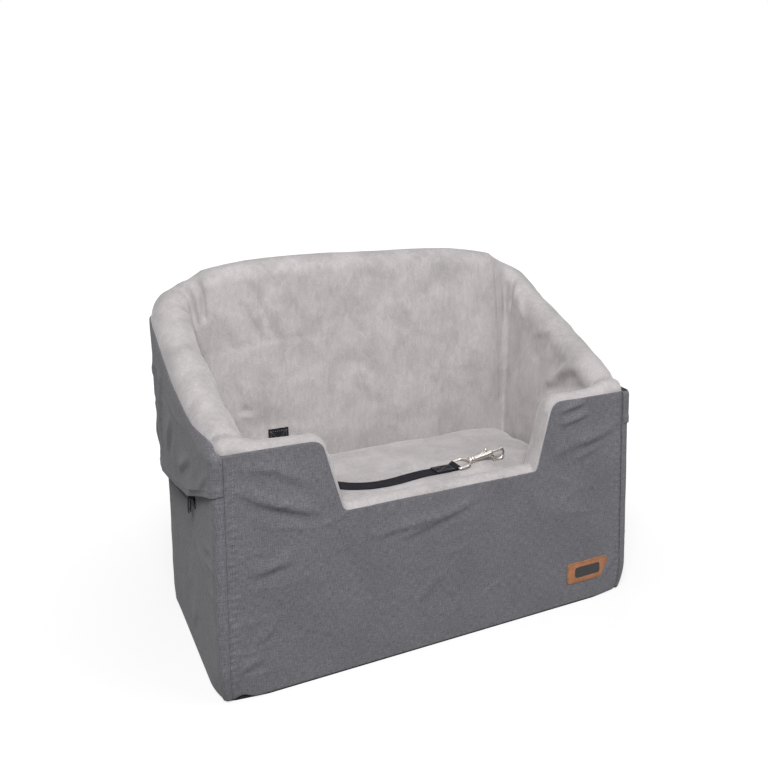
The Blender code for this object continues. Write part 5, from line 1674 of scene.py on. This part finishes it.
def make_tether():
    """The flat strap from the back wall across the cushion, its anchor, and its sewn end round the eye."""
    route = [Vector(point) + to_frame for point in tether_route]
    curve = smooth_route(route, 6)
    ups = [Vector((0, 0, 1))] * len(curve)
    strap = ribbon("tether_strap", curve, ups, tether_width, webbing_thickness, stuff("webbing"))
    settle(strap, "liner", "webbing", "tether_webbing")

    anchor_x = tether_route[0][0]
    low = liner_base + anchor_over_seat
    st = Station(anchor_x, back_y, 0, 1, 1.0)
    top = roll_height(st)
    reach = pad_offset(st, top) - wall_thickness

    def inner_face(z):
        share = (z - liner_base) / (top - wall_thickness / 2 - liner_base)
        return lerp(-wall_foot, reach, share)

    path = [st.point(inner_face(z) - gap - anchor_thickness / 2, z) + to_frame
            for z in even_rows(low, low + anchor_height, 6)]
    facing = [Vector((0, -1, 0))] * len(path)
    anchor = ribbon("tether_anchor", path, facing, anchor_width, anchor_thickness, stuff("webbing"))
    settle(anchor, "liner", "webbing", "tether_anchor_patch")
    half = anchor_width / 2 - 4 * mm
    z0, z1 = low + 4 * mm, low + anchor_height - 4 * mm
    sew_box("liner", [(st.point(inner_face(z) - gap - anchor_thickness - thread_lift, z) + Vector((dx, 0, 0))
                       + to_frame, Vector((0, -1, 0)))
                      for dx, z in ((-half, z0), (half, z0), (half, z1), (-half, z1))])

    loop_reach = eye_rod_radius + running_clearance + webbing_thickness / 2
    bar = Vector(joints["eye_tilt"]["pos_m"])
    start = Vector((route[-1].x + gap, route[-1].y, route[-1].z))
    path = [start.lerp(Vector((bar.x - 3 * eye_rod_radius, start.y, start.z)), step / 6) for step in range(7)]
    for step in range(1, 12):
        angle = math.pi * (step / 12 - 0.5)
        path.append(bar + Vector((loop_reach * math.cos(angle), 0, loop_reach * math.sin(angle))))
    over = Vector((bar.x - 3 * eye_rod_radius, start.y, start.z + webbing_thickness + thread_lift))
    path += [over.lerp(Vector((start.x, start.y, over.z)), step / 6) for step in range(7)]
    ups = [way.cross(Vector((0, -1, 0))).normalized() for way in headings(path)]
    loop = ribbon("tether_sewn_end", path, ups, tether_width, webbing_thickness, stuff("webbing"))
    settle(loop, "liner", "webbing", "tether_end_loop")
    z = over.z + webbing_thickness / 2 + thread_lift
    x0, x1 = start.x + 3 * mm, over.x - 2 * mm
    half = tether_width / 2 - 3.5 * mm
    sew_box("liner", [(Vector((x, start.y + dy, z)), Vector((0, 0, 1)))
                      for x, dy in ((x0, -half), (x1, -half), (x1, half), (x0, half))])
    return strap, loop, curve


def make_snap_hook():
    """The nickel snap: a D-shaped eye on a swivel, a barrel that runs into the hook, and the thumb bolt."""
    axis = Vector(joints["hook_swivel"]["axis"]).normalized()
    side = Vector((0, 1, 0))
    turn = Matrix((axis, side, axis.cross(side))).transposed().to_4x4()
    eye_place = Matrix.Translation(Vector(joints["eye_tilt"]["pos_m"])) @ turn
    hook_place = Matrix.Translation(Vector(joints["hook_swivel"]["pos_m"])) @ turn

    half = eye_inner_width / 2 + eye_rod_radius
    corner = eye_rod_radius * 2
    corners = [Vector((0, 0, 0)), Vector((0, half, 0)), Vector((eye_length - eye_shoulder, half, 0)),
               Vector((eye_length - eye_rod_radius, eye_collar_radius, 0)),
               Vector((eye_length - eye_rod_radius, 0, 0))]
    arc = rounded(corners, [corner, corner * 2, corner], 8)[:-1]
    outline = arc + [Vector((point.x, -point.y, 0)) for point in reversed(arc)][:-1]
    ring = rod_mesh(outline, eye_rod_radius, Vector((0, 0, 1)), closed=True)
    collar_start = eye_length - eye_rod_radius
    collar_end = eye_length + eye_collar_length - running_clearance
    stem_end = collar_end + running_clearance + stem_reach
    collar = turned_mesh([
        (collar_start, 0), (collar_start, eye_collar_radius - stem_radius),
        (collar_start + stem_radius / 2, eye_collar_radius - stem_radius / 4),
        (collar_start + stem_radius, eye_collar_radius), (collar_end - 0.3 * mm, eye_collar_radius),
        (collar_end, eye_collar_radius - 0.3 * mm), (collar_end, stem_radius),
        (stem_end - stem_head_length, stem_radius), (stem_end - stem_head_length, stem_head_radius),
        (stem_end, stem_head_radius), (stem_end, 0)])
    eye = cast("snap_eye", [ring, collar], None, 0.4 * mm, stuff("nickel"), eye_place)
    settle(eye, "eye", "nickel", "swivel_eye")

    head_back = stem_reach - stem_head_length - running_clearance
    bolt_bore = bolt_radius + running_clearance
    foot_bore = stem_radius + running_clearance
    socket = stem_head_radius + running_clearance
    waist = barrel_radius - 0.5 * mm
    barrel = turned_mesh([
        (socket_depth, 0), (socket_depth, socket), (head_back, socket), (head_back, foot_bore),
        (0, foot_bore),
        (0, barrel_foot_radius - 0.4 * mm), (0.4 * mm, barrel_foot_radius), (barrel_wall, barrel_foot_radius),
        (barrel_wall + 0.6 * mm, barrel_radius), (2 * barrel_wall, waist),
        (barrel_length * 0.35, waist), (barrel_length * 0.42, barrel_radius),
        (barrel_length - barrel_wall, barrel_radius), (barrel_length - 0.8 * mm, barrel_radius - 0.2 * mm),
        (barrel_length, barrel_radius - 0.9 * mm), (barrel_length, bolt_bore),
        (socket_depth + barrel_wall, bolt_bore), (socket_depth + barrel_wall, 0)])
    root = bolt_bore + hook_rod_radius + running_clearance
    centre = Vector((barrel_length + hook_ring_radius, 0, -hook_ring_drop))
    tip_angle = math.asin(hook_ring_drop / hook_ring_radius)
    points = [Vector((barrel_length - 2 * hook_root_inset, 0, -root)),
              Vector((barrel_length - hook_root_inset, 0, -root))]
    for step in range(29):
        angle = lerp(math.pi, tip_angle + math.tau, step / 28)
        points.append(centre + hook_ring_radius * Vector((math.cos(angle), 0, math.sin(angle))))
    points.append(Vector((barrel_length + bolt_reach + running_clearance, 0, 0)))
    arm = rod_mesh(smooth_route(points, 2), hook_rod_radius, Vector((0, 1, 0)))
    knob_x = barrel_length - knob_from_barrel_end
    slot_half = knob_stem_radius + running_clearance
    slot = bmesh.new()
    bmesh.ops.create_cube(slot, size=1.0)
    long = bolt_travel + 2 * slot_half
    bmesh.ops.scale(slot, vec=(long, 2 * slot_half, 2 * barrel_radius), verts=slot.verts)
    bmesh.ops.translate(slot, vec=(knob_x + slot_half - long / 2, 0, barrel_radius), verts=slot.verts)
    hook = cast("snap_hook_casting", [barrel, arm], slot, 0.4 * mm, stuff("nickel"), hook_place)
    settle(hook, "hook", "nickel", "hook_body")

    end = barrel_length + bolt_reach
    bolt = turned_mesh([
        (bolt_rear, 0), (bolt_rear, bolt_radius - 0.3 * mm), (bolt_rear + 0.3 * mm, bolt_radius),
        (end - bolt_radius / 2, bolt_radius), (end - bolt_radius / 5, bolt_radius * 0.8),
        (end, bolt_radius / 2), (end, 0)])
    ball = knob_reach - knob_radius
    stem = [(0, 0), (0, knob_stem_radius), (ball - knob_radius * 0.9, knob_stem_radius)]
    stem += [(ball - knob_radius * math.cos(a), knob_radius * math.sin(a))
             for a in (math.pi * step / 16 for step in range(3, 16))]
    knob = turned_mesh(stem + [(knob_reach, 0)])
    stand = Matrix.Translation((knob_x, 0, 0)) @ Matrix.Rotation(-math.pi / 2, 4, "Y")
    bmesh.ops.transform(knob, matrix=stand, verts=knob.verts)
    thumb = cast("snap_thumb_bolt", [bolt, knob], None, 0.3 * mm, stuff("nickel"), hook_place)
    settle(thumb, "bolt", "nickel", "hook_bolt")
    return [eye, hook, thumb, make_bolt_spring(hook_place)]


def make_bolt_spring(place):
    """The wire spring behind the bolt, made at one length, though the real one shortens by the bolt's travel.
    """
    start = socket_depth + barrel_wall + gap + spring_wire_radius
    length = bolt_rear - gap - spring_wire_radius - start
    radius = bolt_radius - spring_wire_radius
    points = []
    for step in range(spring_turns * spring_steps_per_turn + 1):
        turn = step / spring_steps_per_turn
        points.append(Vector((start + length * turn / spring_turns, radius * math.cos(math.tau * turn),
                              radius * math.sin(math.tau * turn))))
    coil = rod_mesh(points, spring_wire_radius, Vector((1, 0, 0)), sides=10)
    mesh = mesh_from(coil, "bolt_spring_wire")
    mesh.transform(place)
    mesh.shade_smooth()
    spring = link("bolt_spring_wire", mesh, [stuff("steel")])
    settle(spring, "hook", "spring_steel", "bolt_spring")
    tuple(joints["bolt_slide"]["axis"])
    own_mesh(spring)
    return spring


stitch_sizes = {
    "long": (4.6 * mm, (3.2 * mm, 0.75 * mm, 0.55 * mm)),
    "fine": (3.2 * mm, (2.3 * mm, 0.6 * mm, 0.45 * mm)),
    "tooth": (tooth_pitch, (1.5 * mm, 1.9 * mm, 2.6 * mm)),
}


def make_stitches():
    """Every kept seam line, sewn with the stitch tree, one piece for each body and thread."""
    tree = group("stitches")
    sockets = {item.name: item.identifier for item in tree.interface.items_tree if item.in_out == "INPUT"}
    for (body, thread, size), lines in seams.items():
        points, edges, ups = [], [], []
        for line in lines:
            first = len(points)
            points += [tuple(place) for place, normal in line]
            ups += [tuple(normal) for place, normal in line]
            edges += [(first + step, first + step + 1) for step in range(len(line) - 1)]
        name = "_".join([body, thread.replace(" ", "_"), size])
        mesh = bpy.data.meshes.new(name)
        mesh.from_pydata(points, edges, [])
        up = mesh.attributes.new("up", "FLOAT_VECTOR", "POINT")
        up.data.foreach_set("vector", np.array(ups, dtype=np.float32).ravel())
        piece = link(name, mesh, [])
        pitch, stitch = stitch_sizes[size]
        step = piece.modifiers.new("stitches", "NODES")
        step.node_group = tree
        step[sockets["Pitch"]] = pitch
        step[sockets["Stitch"]] = stitch
        step[sockets["Thread"]] = stuff(thread)
        settle_modifiers(piece)
        piece.data.shade_smooth()
        slot = {"grey thread": "webbing", "black thread": "webbing", "black metal": "black_metal"}[thread]
        settle(piece, body, slot)


# Operators, in the order in which they run

class SeatColours(bpy.types.PropertyGroup):
    canvas: FloatVectorProperty(
        name="Canvas", description="Grey of the covers", subtype="COLOR", size=3,
        default=(0.160, 0.157, 0.172))
    fleece: FloatVectorProperty(
        name="Fleece", description="Pale plush of the bucket", subtype="COLOR", size=3,
        default=(0.520, 0.487, 0.492))
    webbing: FloatVectorProperty(
        name="Webbing", description="Strap, loops and ribbons", subtype="COLOR", size=3,
        default=(0.010, 0.010, 0.013))
    trim: FloatVectorProperty(name="Trim", description="Tray cloth, zip tapes and lacquered metal",
                              subtype="COLOR", size=3, default=(0.012, 0.012, 0.014))
    grey_thread: FloatVectorProperty(name="Pale thread", description="Thread of the visible seams",
                                     subtype="COLOR", size=3, default=(0.21, 0.21, 0.22))
    patch: FloatVectorProperty(name="Patch", description="Copper patch", subtype="COLOR", size=3,
                               default=(0.41, 0.172, 0.08))
    patch_panel: FloatVectorProperty(
        name="Patch panel", description="Dark panel in the patch", subtype="COLOR", size=3,
        default=(0.022, 0.018, 0.018))
    nickel: FloatVectorProperty(
        name="Nickel", description="Plating of the snap hook", subtype="COLOR", size=3,
        default=(0.78, 0.74, 0.68))
    steel: FloatVectorProperty(
        name="Spring wire", description="Spring behind the bolt", subtype="COLOR", size=3,
        default=(0.45, 0.45, 0.46))
    board: FloatVectorProperty(name="Board", description="Fibreboard of the walls and ribs", subtype="COLOR",
                               size=3, default=(0.33, 0.25, 0.16))


class SeatStage(bpy.types.PropertyGroup):
    sky: FloatProperty(name="Sky", description="Strength of the even light from all round", default=0.18)
    key: FloatProperty(name="Key lamp", description="Power of the lamp over the camera", default=91.0,
                       unit="POWER")
    fill: FloatProperty(name="Fill lamp", description="Power of the lamp on the other side", default=15.0,
                        unit="POWER")
    floor: FloatVectorProperty(name="Floor", description="Colour of the floor as the camera sees it",
                               subtype="COLOR", size=3, default=(0.93, 0.93, 0.93))
    bounce: FloatVectorProperty(name="Bounce", description="Colour that the floor throws back on the seat",
                                subtype="COLOR", size=3, default=(0.28, 0.28, 0.28))


class SEAT_OT_stage(bpy.types.Operator):
    """Set up the camera, the soft light, the floor and the white background"""
    bl_idname = "seat.stage"
    bl_label = "Stage"

    def execute(self, context):
        make_stage(context)
        return {"FINISHED"}


class SEAT_OT_tether(bpy.types.Operator):
    """Make the strap with its snap hook, which lies on the cushion"""
    bl_idname = "seat.tether"
    bl_label = "Strap and snap hook"

    def execute(self, context):
        strap, loop, curve = make_tether()
        hardware = make_snap_hook()
        length = sum((b - a).length for a, b in zip(curve, curve[1:]))
        tuple(curve[0])
        [tuple(point) for point in curve]
        return {"FINISHED"}


class SEAT_OT_covers(bpy.types.Operator):
    """Make the canvas covers: the front, both sides, both skirts and the back"""
    bl_idname = "seat.covers"
    bl_label = "Canvas covers"

    def execute(self, context):
        make_front_panel()
        make_side_panels()
        make_skirts()
        make_back_panel()
        return {"FINISHED"}


class SEAT_OT_boards(bpy.types.Operator):
    """Finish the boards and ribs inside the base, and its black tray"""
    bl_idname = "seat.boards"
    bl_label = "Boards and tray"

    def execute(self, context):
        for node in ("front_board", "back_board", "left_board", "right_board", "floor_board", "deck_board",
                     "long_rib", "left_cross_rib", "right_cross_rib"):
            dress(node, stuff("board"))
        dress("bottom_cover", stuff("lining"))
        return {"FINISHED"}


class SEAT_OT_walls(bpy.types.Operator):
    """Make the padded plush walls of the bucket and the cloth under them"""
    bl_idname = "seat.walls"
    bl_label = "Bucket walls"

    def execute(self, context):
        make_side_and_back_walls()
        make_front_wall()
        make_bucket_floor()
        return {"FINISHED"}


class SEAT_OT_cushion(bpy.types.Operator):
    """Make the crowned seat cushion with its corded seam"""
    bl_idname = "seat.cushion"
    bl_label = "Seat cushion"

    def execute(self, context):
        make_cushion()
        return {"FINISHED"}


class SEAT_OT_trim(bpy.types.Operator):
    """Make the zips, the belt loops and the patch, then sew every seam"""
    bl_idname = "seat.trim"
    bl_label = "Zips, loops, patch and seams"

    def execute(self, context):
        make_zips()
        make_belt_loops()
        make_patch()
        make_stitches()
        return {"FINISHED"}


class SEAT_PT_tools(bpy.types.Panel):
    """Buttons for the pieces of the seat, in the sidebar"""
    bl_label = "Booster seat"
    bl_idname = "SEAT_PT_tools"
    bl_space_type = "VIEW_3D"
    bl_region_type = "UI"
    bl_category = "Seat"

    def draw(self, context):
        for operator in operators:
            self.layout.operator(operator.bl_idname)
        for group_of_values in (context.scene.seat_colours, context.scene.seat_stage):
            for name in group_of_values.__annotations__:
                self.layout.prop(group_of_values, name)


# The camera as fitted to the photograph, the lamps, and the floor, which glows white further from the seat
camera_place = (-0.52726, -1.22050, 0.67943)
camera_down = 7.32
camera_turn = -29.14
camera_lens, camera_sensor = 41.58, 36
camera_shift = (-0.1267, -0.1518)
lamp_sizes_and_places = {"key": (1.1, (-1.0, -2.1, 2.6)), "fill": (1.4, (1.7, -2.0, 1.5))}
lamp_aim = (0, 0, 0.25)
floor_reach = 12.0
floor_glow = 1.12
glow_from, glow_to = 0.35, 0.9
glow_share_near = 0.62
white = (1.0, 1.0, 1.0, 1.0)


def ray_mask(tree, *kinds):
    """1 for rays of these kinds and 0 for others."""
    rays = add(tree, "ShaderNodeLightPath").outputs
    mask = rays[kinds[0]]
    for kind in kinds[1:]:
        mask = maths(tree, "MAXIMUM", mask, rays[kind])
    return mask


def empty_tree(holder):
    holder.use_nodes = True
    holder.node_tree.nodes.clear()
    return holder.node_tree


def make_camera(scene):
    """The camera at the photograph's view."""
    camera = bpy.data.cameras.new("view")
    camera.lens, camera.sensor_width = camera_lens, camera_sensor
    camera.shift_x, camera.shift_y = camera_shift
    holder = bpy.data.objects.new("view", camera)
    holder.location = camera_place
    holder.rotation_euler = (math.radians(90 - camera_down), 0, math.radians(camera_turn))
    scene.collection.objects.link(holder)
    scene.camera = holder


def make_floor(values):
    """A pale floor that throws a set colour back on the seat."""
    mesh = bpy.data.meshes.new("floor")
    reach = floor_reach
    mesh.from_pydata([(-reach, -reach, 0), (reach, -reach, 0), (reach, reach, 0), (-reach, reach, 0)], [],
                     [(0, 1, 2, 3)])
    material = bpy.data.materials.new("pale floor")
    tree = empty_tree(material)
    seen = ray_mask(tree, "Is Camera Ray", "Is Glossy Ray")
    matt = add(tree, "ShaderNodeBsdfDiffuse",
               {"Color": shaded(tree, seen, tuple(values.bounce), tuple(values.floor))})
    glow = add(tree, "ShaderNodeEmission", {"Color": white, "Strength": floor_glow})
    away = add(tree, "ShaderNodeVectorMath", {0: place_in_seat(tree)}, operation="LENGTH").outputs["Value"]
    whiter = add(tree, "ShaderNodeMapRange", {"Value": away, "From Min": glow_from, "From Max": glow_to,
                                              "To Min": glow_share_near, "To Max": 1.0}).outputs[0]
    share = maths(tree, "MULTIPLY", seen, whiter)
    mix = add(tree, "ShaderNodeMixShader", {0: share, 1: matt.outputs[0], 2: glow.outputs[0]})
    add(tree, "ShaderNodeOutputMaterial", {"Surface": mix.outputs[0]})
    link("floor", mesh, [material])


def make_stage(context):
    """Camera at the photograph's view, a pale floor, and soft light at a plain level."""
    values = context.scene.seat_stage
    scene = context.scene
    make_camera(scene)
    scene.view_settings.view_transform = "Standard"
    scene.world = bpy.data.worlds.new("white room")
    tree = empty_tree(scene.world)
    seen = ray_mask(tree, "Is Camera Ray", "Is Glossy Ray", "Is Transmission Ray")
    strength = add(tree, "ShaderNodeMapRange", {"Value": seen, "To Min": values.sky, "To Max": 1.0})
    back = add(tree, "ShaderNodeBackground", {"Color": white, "Strength": strength.outputs[0]})
    add(tree, "ShaderNodeOutputWorld", {"Surface": back.outputs[0]})
    make_floor(values)
    for name, (size, place) in lamp_sizes_and_places.items():
        lamp = bpy.data.lights.new(name, "AREA")
        lamp.energy, lamp.size = getattr(values, name), size
        holder = bpy.data.objects.new(name, lamp)
        holder.location = place
        aim = Vector(lamp_aim) - Vector(place)
        holder.rotation_euler = aim.to_track_quat("-Z", "Y").to_euler()
        scene.collection.objects.link(holder)


operators = (SEAT_OT_stage, SEAT_OT_tether, SEAT_OT_covers, SEAT_OT_boards, SEAT_OT_walls, SEAT_OT_cushion,
             SEAT_OT_trim)
classes = (SeatColours, SeatStage, *operators, SEAT_PT_tools)


def register():
    for item in classes:
        bpy.utils.register_class(item)
    bpy.types.Scene.seat_colours = PointerProperty(type=SeatColours)
    bpy.types.Scene.seat_stage = PointerProperty(type=SeatStage)


def unregister():
    del bpy.types.Scene.seat_stage
    del bpy.types.Scene.seat_colours
    for item in reversed(classes):
        bpy.utils.unregister_class(item)


def main():
    register()
    bpy.ops.seat.stage()
    bpy.ops.seat.tether()
    bpy.ops.seat.covers()
    bpy.ops.seat.boards()
    bpy.ops.seat.walls()
    bpy.ops.seat.cushion()
    bpy.ops.seat.trim()


if __name__ == "__main__":
    main()
